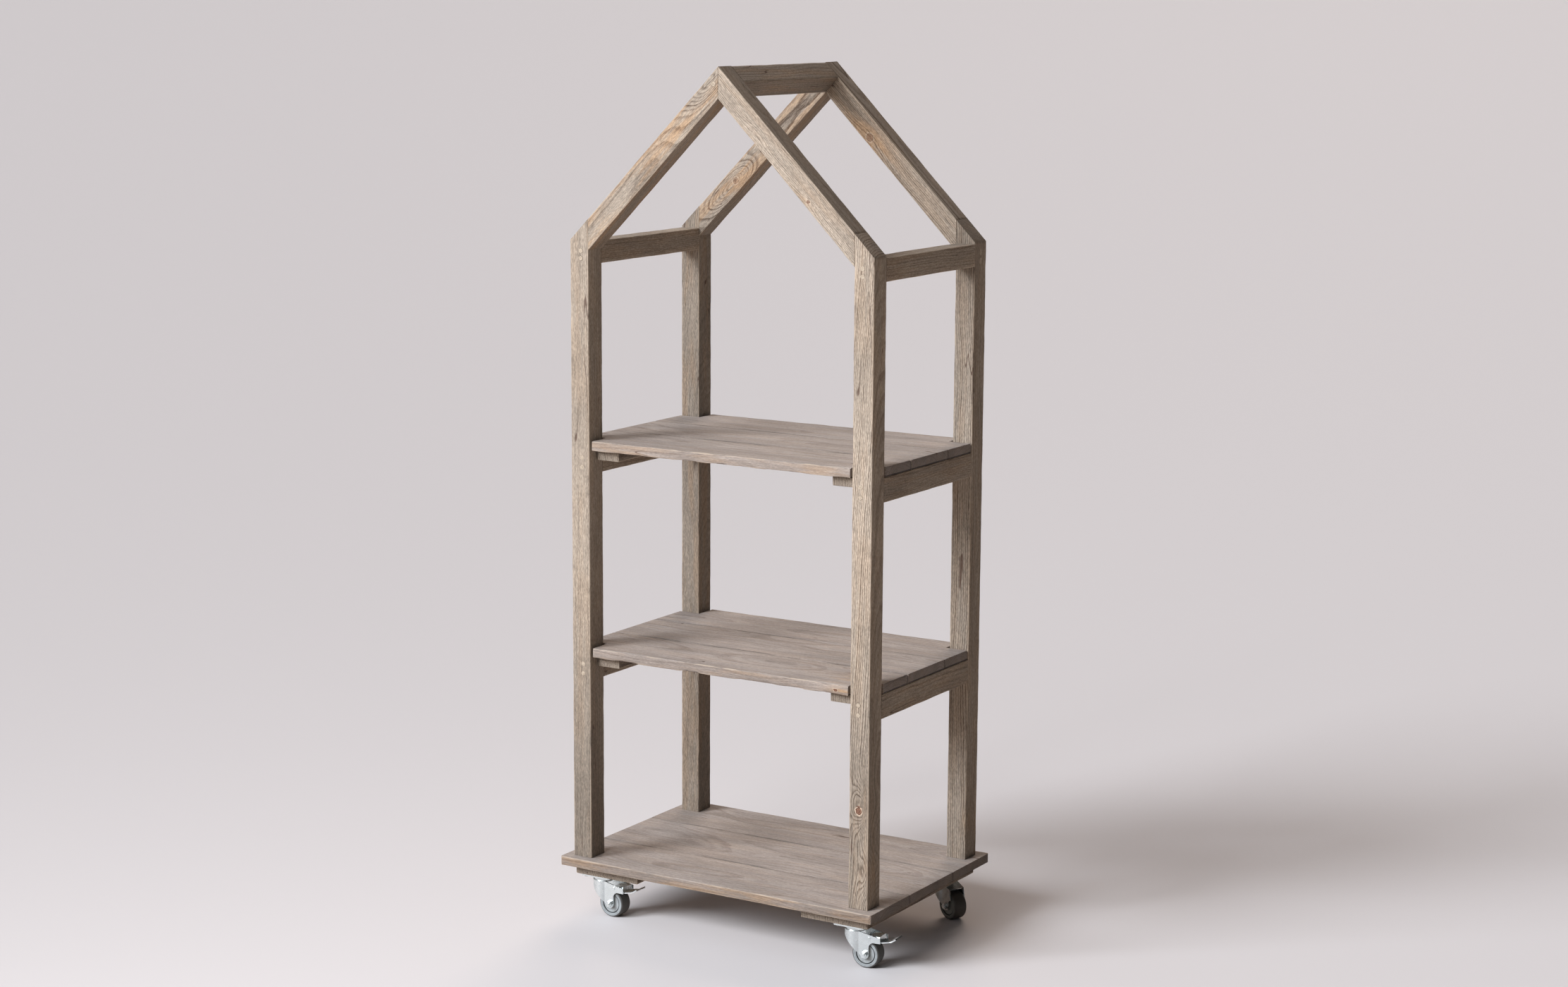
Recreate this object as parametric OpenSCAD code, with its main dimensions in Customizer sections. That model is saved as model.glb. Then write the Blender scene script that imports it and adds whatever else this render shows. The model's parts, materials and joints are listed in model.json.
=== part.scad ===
// House-shaped shelf unit of sawn timber on four swivel casters.
// Millimetres. X runs to the right, Y from front to rear, Z up from the floor.
// The origin is on the floor, under the middle of the frame.

/* [Frame] */
// Width over the outer faces of the posts
frame_w = 600; // [520:10:720]
// Depth over the front and rear faces of the posts
frame_d = 388; // [370:2:440]
// Width of a post seen from the front, and thickness of every rail
post_w = 37.5; // [34:0.5:42]
// Depth of a post and of a rafter, seen from the side
post_d = 41; // [38:1:46]
// Height of the outer face of a post above the base
post_h = 1093; // [1000:0.5:1250]
// Height of the rails that carry the shelves
rail_h = 42; // [36:1:50]
// Height of the rails under the eaves
eave_rail_h = 39; // [34:1:46]
// Drop of the eave rails below the outer top corner of the posts
eave_rail_drop = 2.5; // [1:0.5:6]
// Chamfer along the sawn edges of the timber
edge_ease = 1; // [0.5:0.1:1.5]

/* [Roof] */
// Pitch of the roof in degrees
roof_pitch = 45; // [38:1:50]
// Depth of a rafter, square to the slope
rafter_h = 38; // [34:1:44]

/* [Base] */
// Thickness of the base planks
base_t = 16; // [14:0.5:20]
// Reach of the base beyond the posts at each side
base_over_x = 17; // [12:1:30]
// Reach of the base beyond the posts at the front and rear
base_over_y = 18.5; // [12:0.5:30]
// Radius of the corners of the base
base_corner_r = 5; // [3:0.5:8]
// Width of the front plank of the base
base_front_w = 134.5; // [120:0.5:150]
// Width of the middle plank of the base
base_middle_w = 156; // [130:0.5:170]
// Open seam between two planks
seam_gap = 0.5; // [0.3:0.1:1]
// Width of the two battens under the base
base_batten_w = 131; // [120:1:145]
// Thickness of the battens under the base
base_batten_t = 18; // [16:0.5:24]
// Distance from the side edge of the base to a batten
base_batten_in_x = 18.5; // [14:0.5:26]
// Distance from the front edge of the base to a batten's end
base_batten_in_y = 23; // [18:0.5:30]

/* [Shelves] */
// Thickness of the shelf planks
shelf_t = 17; // [14:0.5:20]
// Width of the front plank of a shelf
shelf_front_w = 130; // [115:0.5:145]
// Width of the middle plank of a shelf
shelf_middle_w = 130; // [115:0.5:145]
// Top of the lower shelf rails above the base
lower_rail_top = 363.5; // [300:0.5:400]
// Top of the upper shelf rails above the base
upper_rail_top = 729.5; // [680:0.5:800]
// Gap between a shelf and the rails that it rests on
shelf_seat_gap = 0.3; // [0.2:0.1:0.5]
// Distance from the front face of the posts to the edge of a shelf
shelf_set = 1; // [0.5:0.5:4]
// Gap between a shelf's notches and the posts
notch_gap = 4.5; // [2:0.5:6]
// Width of the battens under a shelf
shelf_batten_w = 44; // [36:1:55]
// Thickness of the battens under a shelf
shelf_batten_t = 18; // [14:0.5:22]
// Distance from the edge of a shelf to its battens' ends
shelf_batten_set = 18; // [12:1:30]

/* [Fasteners] */
// Diameter of the wooden plugs over the frame screws
plug_d = 8; // [7:0.5:9]
// Length of a plug
plug_l = 8; // [6:0.5:10]
// Diameter of the frame screws
frame_screw_d = 4.5; // [3.5:0.5:4.5]
// Diameter of a frame screw's head
frame_screw_head_d = 7.6; // [6.5:0.1:7.6]
// Reach of a frame screw into the piece behind the post
frame_screw_bite = 32; // [25:1:40]
// Distance of the rail screws from the outer face of the posts
rail_screw_in = 22; // [18:1:25]
// Height between the two screws of a shelf rail's end
rail_screw_pitch = 17; // [13:1:20]
// Depth of the upper screw below the top of an eave rail
eave_screw_in = 15.5; // [15:0.5:16.5]
// Height between the two screws of an eave rail's end
eave_screw_pitch = 13; // [11:1:16]
// Distance between the two screws of a rafter's foot, square to the slope
rafter_screw_pitch = 11; // [10:0.5:12]
// Height of a rafter's two screws above the middle of the rafter's foot
rafter_screw_up = 1.6; // [1:0.1:2]
// Distance of the ridge screw from the middle of the gable
ridge_screw_off = 9; // [6:1:11]
// Height of the ridge screw below the middle of the ridge beam
ridge_screw_drop = 2; // [0:0.5:3]
// Diameter of the wood screws in the base and the shelves
wood_screw_d = 4; // [3:0.5:4.5]
// Diameter of a wood screw's countersunk head
wood_screw_head_d = 8; // [7:0.5:9]
// Reach of a batten's screw into the plank above it
wood_screw_bite = 11; // [8:0.5:12]
// Reach of a post's screw into the end of the post
post_screw_bite = 45; // [30:1:60]
// Distance of the batten screws from the side of a base batten
base_screw_in = 17.5; // [14:0.5:22]
// Distance of the base batten screws from the seam of their plank
base_screw_seam_in = 22; // [16:1:30]
// Distance of the shelf batten screws from the side of their batten
shelf_screw_in = 11; // [9:0.5:14]
// Distance of the shelf batten screws from the ends of their batten and from the seams
shelf_screw_end_in = 30; // [24:1:36]

/* [Casters] */
// Diameter of a wheel
wheel_d = 50; // [46:1:54]
// Width of a wheel
wheel_w = 25; // [22:0.5:27]
// Height of the mounting plate's top above the wheel
caster_rise = 25.5; // [24:0.5:28]
// Distance from the swivel axis back to the wheel's axle
trail = 23; // [21:0.5:25]
// Side of the square mounting plate
plate_w = 60; // [56:1:64]
// Thickness of the mounting plate
plate_t = 2.5; // [2:0.1:3]
// Radius of the mounting plate's corners
plate_corner_r = 5; // [3:0.5:6]
// Distance between the screw holes of the mounting plate
plate_hole_pitch = 45; // [43:0.5:47]
// Diameter of the caster screws
caster_screw_d = 5; // [4:0.5:5]
// Diameter of a caster screw's head
caster_screw_head_d = 9; // [8:0.5:10]
// Height of a caster screw's head
caster_screw_head_h = 2; // [1.6:0.2:2.4]
// Reach of a caster screw into the base batten
caster_screw_bite = 13; // [10:0.5:15]
// Distance from a base batten's side to the mounting plate
plate_in_x = 9.5; // [4:0.5:14]
// Distance from a base batten's end to the mounting plate
plate_in_y = 1; // [0:0.5:4]
// Thickness of the fork's sheet steel
fork_t = 2.2; // [1.8:0.1:2.4]
// Gap between the wheel and each side of the fork
fork_gap = 1.3; // [1:0.1:2]
// Radius of the fork's round head
fork_head_r = 20; // [19:0.5:21]
// Gap between the wheel and the top of the fork
fork_rise = 12; // [11.5:0.5:12.5]
// Radius of the fork's feet round the axle
fork_foot_r = 7.5; // [7:0.5:9]
// Height of the fork's nose, from which the front edge slopes to the foot
fork_nose_h = 6; // [4:0.5:8]
// Height above the axle at which a plain fork's sides are widest
foot_curve_rise = 12.5; // [11:0.5:14]
// Radius of the curve under a brake fork's lugs
lug_curve_r = 10; // [8:0.5:12]
// Reach of a plain fork's sides behind the axle, at their top
fork_back_top = 9.5; // [8:0.5:12]
// Reach of a plain fork's sides behind the axle, at their widest
fork_back = 13.5; // [12:0.5:16]
// Reach of a brake fork's lugs beyond the wheel
fork_lug_reach = 4; // [3:0.5:6]
// Height of the lugs' top above the wheel
lug_above = 6.5; // [6:0.5:8]
// Height of the lugs
lug_h = 9; // [8:0.5:10]
// Diameter of the kingpin
kingpin_d = 9; // [8:0.5:10]
// Diameter of the kingpin's lower head
kingpin_head_d = 14; // [13:0.5:16]
// Thickness of the kingpin's lower head
kingpin_head_t = 2.5; // [2:0.1:3]
// Diameter of a bearing ball in the swivel head
ball_d = 4; // [3.6:0.2:4]
// Radius of the ring of balls
ball_ring_r = 14; // [13.5:0.5:14.5]
// Number of balls in one swivel head
ball_count = 14; // [10:1:16]
// Width of a ball race
race_w = 7.6; // [7:0.2:8]
// Diameter of the axle bolt
axle_d = 6; // [5:0.5:6.5]
// Outer diameter of the tube round the axle bolt
axle_tube_d = 9; // [8.5:0.5:10]
// Width across the flats of the axle bolt's head and nut
axle_hex = 10; // [9:0.5:11]
// Height of the axle bolt's head
axle_head_h = 4; // [3:0.5:5]
// Height of the axle nut
axle_nut_h = 5; // [4:0.5:6]
// End of the axle bolt that stands out of its nut
axle_end = 1.5; // [0.5:0.5:2.5]
// Thickness of the tyre
tyre_t = 5.5; // [4:0.5:6]
// Radius of the tyre's shoulders
tyre_shoulder_r = 3; // [2:0.5:4]
// Radius of the wheel's hub
hub_r = 8; // [7:0.5:9]
// Depth of the groove round the wheel's disc
groove_depth = 4; // [2:0.5:5]
// Width of the groove round the wheel's disc
groove_w = 1.8; // [1.2:0.2:2.4]
// Thickness of the wheel's rim inside the tyre
rim_t = 1.6; // [1.2:0.1:2.2]
// Depth of the rim's edge behind the tyre's side
rim_set = 0.5; // [0.3:0.1:1]
// Depth of the disc's face behind the tyre's side
disc_set = 1.5; // [1:0.5:3]

/* [Brakes] */
// Thickness of the pedal's sheet steel
pedal_t = 2; // [1.6:0.1:2.4]
// Width of the pedal between the sides of the fork
pedal_w = 24; // [20:0.5:25]
// Height of the pedal's top above the wheel
pedal_rise = 8.5; // [8:0.5:10]
// Width of the pedal's tongue
tongue_w = 27; // [24:0.5:32]
// Length of the tongue's straight stretch
tongue_l = 16.5; // [12:0.5:22]
// Slope of the tongue's straight stretch in degrees
tongue_slope = 12; // [8:1:16]
// Radius of the upturned end of the tongue
tongue_r = 30; // [24:1:36]
// Slope of the tongue's tip in degrees
tip_slope = 42; // [34:1:48]
// Diameter of the pedal's pin
pedal_pin_d = 3.5; // [3:0.5:4]
// Distance of the pedal's pin behind the axle
pedal_pin_x = 8; // [7:0.5:9]
// Height of the pedal's pin above the wheel
pedal_pin_rise = 4.2; // [4:0.1:4.6]
// Diameter of the pin's riveted ends
rivet_d = 5.5; // [5:0.5:6]
// Height of the pin's riveted ends
rivet_h = 0.8; // [0.5:0.1:1]
// Width of the brake shoe
shoe_w = 18; // [14:0.5:20]
// Length of the brake shoe behind the pin
shoe_l = 13.5; // [11:0.5:15]
// Travel of the pedal in degrees
brake_angle = 10; // [8:1:12]
// Gap between the shoe and the tyre when the pedal is down
shoe_gap = 0.3; // [0.2:0.1:0.5]

/* [Caster positions] */
// Swivel of the front left caster, in degrees
front_left_turn = -2; // [-30:1:30]
// Swivel of the front right caster, in degrees
front_right_turn = 4; // [-30:1:30]
// Swivel of the rear left caster, in degrees
rear_left_turn = -10; // [-30:1:30]
// Swivel of the rear right caster, in degrees
rear_right_turn = -25; // [-30:1:30]

/* [Hidden] */

// Sides of the unit, and the casters with their swivel angles
LEFT = -1;
RIGHT = 1;
FRONT = -1;
REAR = 1;
FRONT_LEFT = [LEFT, FRONT, front_left_turn];
FRONT_RIGHT = [RIGHT, FRONT, front_right_turn];
REAR_LEFT = [LEFT, REAR, rear_left_turn];
REAR_RIGHT = [RIGHT, REAR, rear_right_turn];
CASTERS = [FRONT_LEFT, FRONT_RIGHT, REAR_LEFT, REAR_RIGHT];

// Clearances, and lengths that only cuts use
fit = 0.05;
turn_fit = 0.08;
ball_fit = 0.1;
race_gap = 1.2;
screw_head_rim = 1;
side_play = 0.3;
cut = 1;
huge = 4000;

// Straight steps of the tongue's upturned end
bend_steps = 6;

// Colours
weathered = "#8c7866";
plank_grey = "#9a8c80";
plug_brown = "#5d4c3f";
steel = "#b9bdc0";
zinc = "#d0d4d6";
disc_grey = "#aab2b6";
tyre_grey = "#55585a";

$fn = 48;

// Heights and half widths of the frame
half_w = frame_w / 2;
half_d = frame_d / 2;
inner_x = half_w - post_w;
inner_y = half_d - post_d;
caster_h = wheel_d + caster_rise;
base_z = caster_h + base_batten_t;
deck_z = base_z + base_t;
eave_z = deck_z + post_h;
slope = tan(roof_pitch);
apex_z = eave_z + half_w * slope;
plumb_h = rafter_h / cos(roof_pitch);
ridge_mid_z = apex_z - plumb_h / 2;

// Base and shelf boards
base_w = frame_w + 2 * base_over_x;
base_d = frame_d + 2 * base_over_y;
base_batten_l = base_d - 2 * base_batten_in_y;
base_batten_x = base_w / 2 - base_batten_in_x - base_batten_w;
shelf_d = frame_d - 2 * shelf_set;
shelf_batten_l = shelf_d - 2 * shelf_batten_set;
shelf_batten_x = inner_x - notch_gap - shelf_batten_w;

// Tops of the side rails
lower_rail_z = deck_z + lower_rail_top;
upper_rail_z = deck_z + upper_rail_top;
eave_rail_z = eave_z - eave_rail_drop;

// Casters, from the floor up
caster_x = base_w / 2 - base_batten_in_x - plate_in_x - plate_w / 2;
caster_y = base_d / 2 - base_batten_in_y - plate_in_y - plate_w / 2;
wheel_r = wheel_d / 2;
fork_in = wheel_w / 2 + fork_gap;
fork_out = fork_in + fork_t;
web_z = wheel_d + fork_rise;
fork_top = web_z + fork_t;
plate_z = caster_h - plate_t;
ball_z = (fork_top + plate_z) / 2;
crease_x = sqrt(pow(fork_head_r, 2) - pow(fork_out, 2));
foot_x = trail + fork_foot_r;

// Wheel and tyre, from the rim inwards
rim_r = wheel_r - tyre_t;
disc_r = rim_r - rim_t - groove_w;
disc_half = wheel_w / 2 - disc_set;
hub_half = fork_in - side_play;

// Brake pedal
lug_x = trail + wheel_r + fork_lug_reach;
lug_top = wheel_d + lug_above;
lug_bottom = lug_top - lug_h;
pin_x = trail + pedal_pin_x;
pin_z = wheel_d + pedal_pin_rise;
tongue_z = lug_bottom + pedal_t;

// Unit vector, the vector turned left, and a polyline's mitred left-hand normal at point i
function unit(v) = v / norm(v);
function left_of(v) = [-v[1], v[0]];
function mitre(p, i) =
    let (
        a = i > 0 ? left_of(unit(p[i] - p[i - 1])) : left_of(unit(p[1] - p[0])),
        b = i < len(p) - 1 ? left_of(unit(p[i + 1] - p[i])) : a,
        n = unit(a + b)
    )
    n / (n * a);

// Outline of a bent sheet of thickness t that lies to the left of polyline p
function sheet(p, t) = concat(p, [for (i = [len(p) - 1:-1:0]) p[i] + t * mitre(p, i)]);

// Outline of a turned shape that is the same on both sides of its middle plane
function both_sides(p) = concat(p, [for (i = [len(p) - 1:-1:0]) [p[i][0], -p[i][1]]]);

// Rectangle with chamfered corners, from the origin
module eased_rect(w, h, e = edge_ease) {
    polygon([[e, 0], [w - e, 0], [w, e], [w, h - e], [w - e, h], [e, h], [0, h - e], [0, e]]);
}

// Bar along Z, Y or X with eased long edges, low corner at the origin
module bar_z(size) {
    linear_extrude(size[2]) eased_rect(size[0], size[1]);
}
module bar_y(size) {
    translate([0, size[1], 0]) rotate([90, 0, 0]) linear_extrude(size[1]) eased_rect(size[0], size[2]);
}
module bar_x(size) {
    rotate([90, 0, 90]) linear_extrude(size[0]) eased_rect(size[1], size[2]);
}

// Mirrors a piece of the rear right corner to its own corner
module on_side(sx, sy = REAR) {
    mirror([sx < 0 ? 1 : 0, 0, 0]) mirror([0, sy < 0 ? 1 : 0, 0]) children();
}

// Frame screw that crosses a post and bites into the piece behind it, with its tip up
module frame_screw(through) {
    head_r = frame_screw_head_d / 2;
    shank_r = frame_screw_d / 2;
    tip_z = through + frame_screw_bite;
    rotate_extrude() polygon([
        [0, plug_l], [head_r, plug_l], [head_r, plug_l + screw_head_rim],
        [shank_r, plug_l + screw_head_rim + head_r - shank_r], [shank_r, tip_z - shank_r], [0, tip_z]
    ]);
}
module frame_screw_hole(through) {
    plug_r = plug_d / 2 + fit;
    head_r = frame_screw_head_d / 2 + fit;
    shank_r = frame_screw_d / 2 + fit;
    tip_z = through + frame_screw_bite;
    rotate_extrude() polygon([
        [0, -plug_l], [plug_r, -plug_l], [plug_r, plug_l + screw_head_rim], [head_r, plug_l + screw_head_rim],
        [shank_r, plug_l + screw_head_rim + head_r - shank_r],
        [shank_r, tip_z - shank_r + 2 * fit], [0, tip_z + 2 * fit]
    ]);
}
module plug() {
    translate([0, 0, -plug_l]) cylinder(d = plug_d, h = 2 * plug_l);
}

// Countersunk wood screw with its head at z = 0 and its tip up, and its hole
module wood_screw(length) {
    head_r = wood_screw_head_d / 2;
    shank_r = wood_screw_d / 2;
    rotate_extrude()
        polygon([[0, 0], [head_r, 0], [shank_r, head_r - shank_r], [shank_r, length - shank_r], [0, length]]);
}
module wood_screw_hole(length) {
    head_r = wood_screw_head_d / 2 + fit;
    shank_r = wood_screw_d / 2 + fit;
    rotate_extrude() polygon([
        [0, -cut], [head_r, -cut], [head_r, 0], [shank_r, head_r - shank_r],
        [shank_r, length - shank_r + fit], [0, length + fit]
    ]);
}

// Places of the rail screws in the rear right post, as x and height
function rail_screw_spots() =
    let (
        shelf_tops = [lower_rail_z, upper_rail_z],
        eave_top = eave_rail_z - eave_screw_in,
        heights = concat(
            [for (top = shelf_tops, s = [-1, 1]) top - rail_h / 2 + s * rail_screw_pitch / 2],
            [eave_top, eave_top - eave_screw_pitch]
        )
    )
    [for (z = heights) [half_w - rail_screw_in, z]];

// Repeats its children at the screws of the rear right post and of the rear gable's ridge
module at_rail_screws() {
    for (p = rail_screw_spots())
        translate([p[0], half_d, p[1]]) rotate([90, 0, 0]) children();
}
module at_rafter_screws() {
    mid_z = eave_z - plumb_h / 2 + rafter_screw_up;
    for (s = [-1, 1])
        translate([half_w, half_d - post_d / 2, mid_z + s * rafter_screw_pitch / 2 / cos(roof_pitch)])
            rotate([0, roof_pitch - 90, 0]) children();
}
module at_ridge_screw() {
    translate([-ridge_screw_off, half_d, ridge_mid_z - ridge_screw_drop]) rotate([90, 0, 0]) children();
}
module at_post_screw() {
    translate([inner_x + post_w / 2, half_d - post_d / 2, base_z]) children();
}

// Slanted way of a rafter screw through the post
rafter_through = post_w / cos(roof_pitch);

// Screw holes of the rear right corner of the frame
module corner_holes() {
    at_rail_screws() frame_screw_hole(post_d);
    at_rafter_screws() frame_screw_hole(rafter_through);
    at_post_screw() wood_screw_hole(base_t + post_screw_bite);
}

// Half space above the right slope of the roof
module above_slope() {
    translate([0, 0, apex_z]) rotate([0, roof_pitch, 0])
        translate([-huge / 2, -huge / 2, 0]) cube([huge, huge, huge]);
}

// Post, cut to the roof slope at its top
module post(sx, sy) {
    color(weathered) on_side(sx, sy) difference() {
        translate([inner_x, inner_y, deck_z]) bar_z([post_w, post_d, apex_z - deck_z]);
        above_slope();
        corner_holes();
    }
}

// Rafter with a plumb cut at the post and at the apex
module rafter(sx, sy) {
    color(weathered) difference() {
        on_side(sx, sy) difference() {
            intersection() {
                translate([0, 0, apex_z]) rotate([0, roof_pitch, 0])
                    translate([-rafter_h, inner_y, -rafter_h]) bar_x([frame_w + rafter_h, post_d, rafter_h]);
                translate([0, 0, deck_z]) cube([inner_x, frame_d, huge]);
            }
            at_rafter_screws() frame_screw_hole(rafter_through);
        }
        on_side(RIGHT, sy) at_ridge_screw() frame_screw_hole(post_d);
    }
}

// Ridge beam between the gables, with its upper faces in the planes of the roof
module ridge_beam() {
    w = plumb_h / 2 / slope;
    h = plumb_h / 2;
    e = edge_ease;
    color(weathered) difference() {
        translate([0, inner_y, ridge_mid_z]) rotate([90, 0, 0]) linear_extrude(2 * inner_y) polygon([
            [e, h - e * slope], [w - e, e * slope], [w - e, -e * slope], [e, e * slope - h],
            [-e, e * slope - h], [e - w, -e * slope], [e - w, e * slope], [-e, h - e * slope]
        ]);
        for (sy = [FRONT, REAR])
            on_side(RIGHT, sy) at_ridge_screw() frame_screw_hole(post_d);
    }
}

// Rail between the front and rear posts, with its top at height top
module side_rail(sx, top, h) {
    color(weathered) on_side(sx) difference() {
        translate([inner_x, -inner_y, top - h]) bar_y([post_w, 2 * inner_y, h]);
        for (sy = [FRONT, REAR])
            on_side(RIGHT, sy) at_rail_screws() frame_screw_hole(post_d);
    }
}

// Plank along X with its section from y0 to y1, cut to the outline drawn by its child
module plank(span, z, t) {
    intersection() {
        translate([-huge / 2, span[0], z]) bar_x([huge, span[1] - span[0], t]);
        translate([0, 0, z - cut]) linear_extrude(t + 2 * cut) children();
    }
}

// Middles of the two seams of a board, and the front and rear side of its plank i
function seams(d, front_w, middle_w) = [front_w - d / 2, front_w + middle_w - d / 2];
function plank_span(i, d, seam) = [
    i == 0 ? -d / 2 : seam[i - 1] + seam_gap / 2,
    i == 2 ? d / 2 : seam[i] - seam_gap / 2
];
base_seams = seams(base_d, base_front_w, base_middle_w);
shelf_seams = seams(shelf_d, shelf_front_w, shelf_middle_w);

// Outline of the base, with round corners
module base_outline() {
    r = base_corner_r;
    square([base_w, base_d - 2 * r], center = true);
    square([base_w - 2 * r, base_d], center = true);
    for (x = [-1, 1], y = [-1, 1])
        translate([x * (base_w / 2 - r), y * (base_d / 2 - r)]) circle(r);
}

// Base batten screws: a row in each plank, clear of the caster plates
module at_base_batten_screws() {
    rows = [base_seams[0] - base_screw_seam_in, 0, base_seams[1] + base_screw_seam_in];
    for (sx = [LEFT, RIGHT], x = [base_screw_in, base_batten_w - base_screw_in], y = rows)
        translate([sx * (base_batten_x + x), y, caster_h]) children();
}

module base_plank(i) {
    color(plank_grey) difference() {
        plank(plank_span(i, base_d, base_seams), base_z, base_t) base_outline();
        for (sx = [LEFT, RIGHT], sy = [FRONT, REAR])
            on_side(sx, sy) at_post_screw() wood_screw_hole(base_t + post_screw_bite);
        at_base_batten_screws() wood_screw_hole(base_batten_t + wood_screw_bite);
    }
}

module base_batten(sx) {
    color(weathered) difference() {
        on_side(sx) translate([base_batten_x, -base_batten_l / 2, caster_h])
            bar_y([base_batten_w, base_batten_l, base_batten_t]);
        at_base_batten_screws() wood_screw_hole(base_batten_t + wood_screw_bite);
        for (c = CASTERS)
            at_plate_screws(c) caster_screw_shank(fit);
    }
}

// Wooden plugs over the frame screws, cut flush with the faces of the frame
module screw_plugs() {
    color(plug_brown) for (sy = [FRONT, REAR]) {
        for (sx = [LEFT, RIGHT]) on_side(sx, sy) intersection() {
            translate([0, 0, deck_z]) cube([half_w, half_d, huge]);
            union() {
                at_rail_screws() plug();
                at_rafter_screws() plug();
            }
        }
        on_side(RIGHT, sy) intersection() {
            translate([-half_w, 0, deck_z]) cube([frame_w, half_d, huge]);
            at_ridge_screw() plug();
        }
    }
}

// Long screws of the rails, the rafters and the ridge beam
module frame_screws() {
    color(steel) for (sy = [FRONT, REAR]) {
        for (sx = [LEFT, RIGHT]) on_side(sx, sy) {
            at_rail_screws() frame_screw(post_d);
            at_rafter_screws() frame_screw(rafter_through);
        }
        on_side(RIGHT, sy) at_ridge_screw() frame_screw(post_d);
    }
}

// Screws of the base: through the planks into the posts, and through the battens into the planks
module base_screws() {
    color(steel) {
        for (sx = [LEFT, RIGHT], sy = [FRONT, REAR])
            on_side(sx, sy) at_post_screw() wood_screw(base_t + post_screw_bite);
        at_base_batten_screws() wood_screw(base_batten_t + wood_screw_bite);
    }
}

// Outline of a shelf: notched round the posts, and over the rails as far as their outer faces
module shelf_outline() {
    square([2 * (inner_x - notch_gap), shelf_d], center = true);
    square([frame_w, 2 * (inner_y - notch_gap)], center = true);
}

// Shelf batten screws: two in each plank of each batten, in a zigzag
module at_shelf_screws(rail_z) {
    end = shelf_batten_l / 2 - shelf_screw_end_in;
    off = shelf_screw_end_in;
    rows = [-end, shelf_seams[0] - off, shelf_seams[0] + off, shelf_seams[1] - off, shelf_seams[1] + off, end];
    for (sx = [LEFT, RIGHT], i = [0:5]) {
        x = i % 2 == 0 ? shelf_screw_in : shelf_batten_w - shelf_screw_in;
        translate([sx * (shelf_batten_x + x), rows[i], rail_z + shelf_seat_gap - shelf_batten_t]) children();
    }
}

module shelf_plank(i, rail_z) {
    color(plank_grey) difference() {
        plank(plank_span(i, shelf_d, shelf_seams), rail_z + shelf_seat_gap, shelf_t) shelf_outline();
        at_shelf_screws(rail_z) wood_screw_hole(shelf_batten_t + wood_screw_bite);
    }
}

module shelf_batten(sx, rail_z) {
    color(weathered) difference() {
        on_side(sx) translate([shelf_batten_x, -shelf_batten_l / 2, rail_z + shelf_seat_gap - shelf_batten_t])
            bar_y([shelf_batten_w, shelf_batten_l, shelf_batten_t]);
        at_shelf_screws(rail_z) wood_screw_hole(shelf_batten_t + wood_screw_bite);
    }
}

module shelf_screws(rail_z) {
    color(steel) at_shelf_screws(rail_z) wood_screw(shelf_batten_t + wood_screw_bite);
}

// Puts a caster's pieces under its corner: its plate stays square to the unit, the rest swivels
module at_caster(c) {
    translate([c[0] * caster_x, c[1] * caster_y, 0]) children();
}
module at_turned_caster(c) {
    at_caster(c) rotate([0, 0, c[2]]) children();
}
module at_axle(c) {
    at_turned_caster(c) translate([trail, 0, wheel_r]) rotate([90, 0, 0]) children();
}
module at_plate_screws(c) {
    at_caster(c) for (x = [-1, 1], y = [-1, 1])
        translate([x * plate_hole_pitch / 2, y * plate_hole_pitch / 2, plate_z]) children();
}

module caster_screw_shank(play = 0) {
    r = caster_screw_d / 2 + play;
    length = plate_t + caster_screw_bite + play;
    rotate_extrude() polygon([[0, -cut], [r, -cut], [r, length - r], [0, length]]);
}
module caster_screws() {
    color(zinc) for (c = CASTERS) at_plate_screws(c) {
        caster_screw_shank();
        translate([0, 0, -caster_screw_head_h]) cylinder(d = caster_screw_head_d, h = caster_screw_head_h);
    }
}

// Ball race: a ring from z0 to z1 with the balls' groove
module race(z0, z1) {
    rotate_extrude() difference() {
        translate([ball_ring_r - race_w / 2, z0]) square([race_w, z1 - z0]);
        translate([ball_ring_r, ball_z]) circle(ball_d / 2 + ball_fit);
    }
}

module caster_plate(c) {
    side = plate_w / 2 - plate_corner_r;
    color(zinc) difference() {
        at_caster(c) {
            translate([0, 0, plate_z]) linear_extrude(plate_t) {
                square([plate_w, 2 * side], center = true);
                square([2 * side, plate_w], center = true);
                for (x = [-side, side], y = [-side, side])
                    translate([x, y]) circle(plate_corner_r);
            }
            race(ball_z + race_gap / 2, plate_z + plate_t / 2);
        }
        at_caster(c) translate([0, 0, plate_z - cut]) cylinder(r = kingpin_d / 2 + fit, h = plate_t + 2 * cut);
        at_plate_screws(c) translate([0, 0, -cut]) cylinder(r = caster_screw_d / 2 + fit, h = plate_t + 2 * cut);
    }
}

// Kingpin of each caster, with its lower head under the fork
module caster_kingpins() {
    head_z = web_z - side_play - kingpin_head_t;
    color(zinc) for (c = CASTERS) at_caster(c) {
        translate([0, 0, head_z]) cylinder(d = kingpin_head_d, h = kingpin_head_t);
        translate([0, 0, head_z]) cylinder(d = kingpin_d, h = caster_h - head_z);
    }
}

module swivel_balls() {
    color(steel) for (c = CASTERS, i = [0:ball_count - 1])
        at_caster(c) rotate([0, 0, i * 360 / ball_count]) translate([ball_ring_r, 0, ball_z]) sphere(d = ball_d);
}

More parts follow.
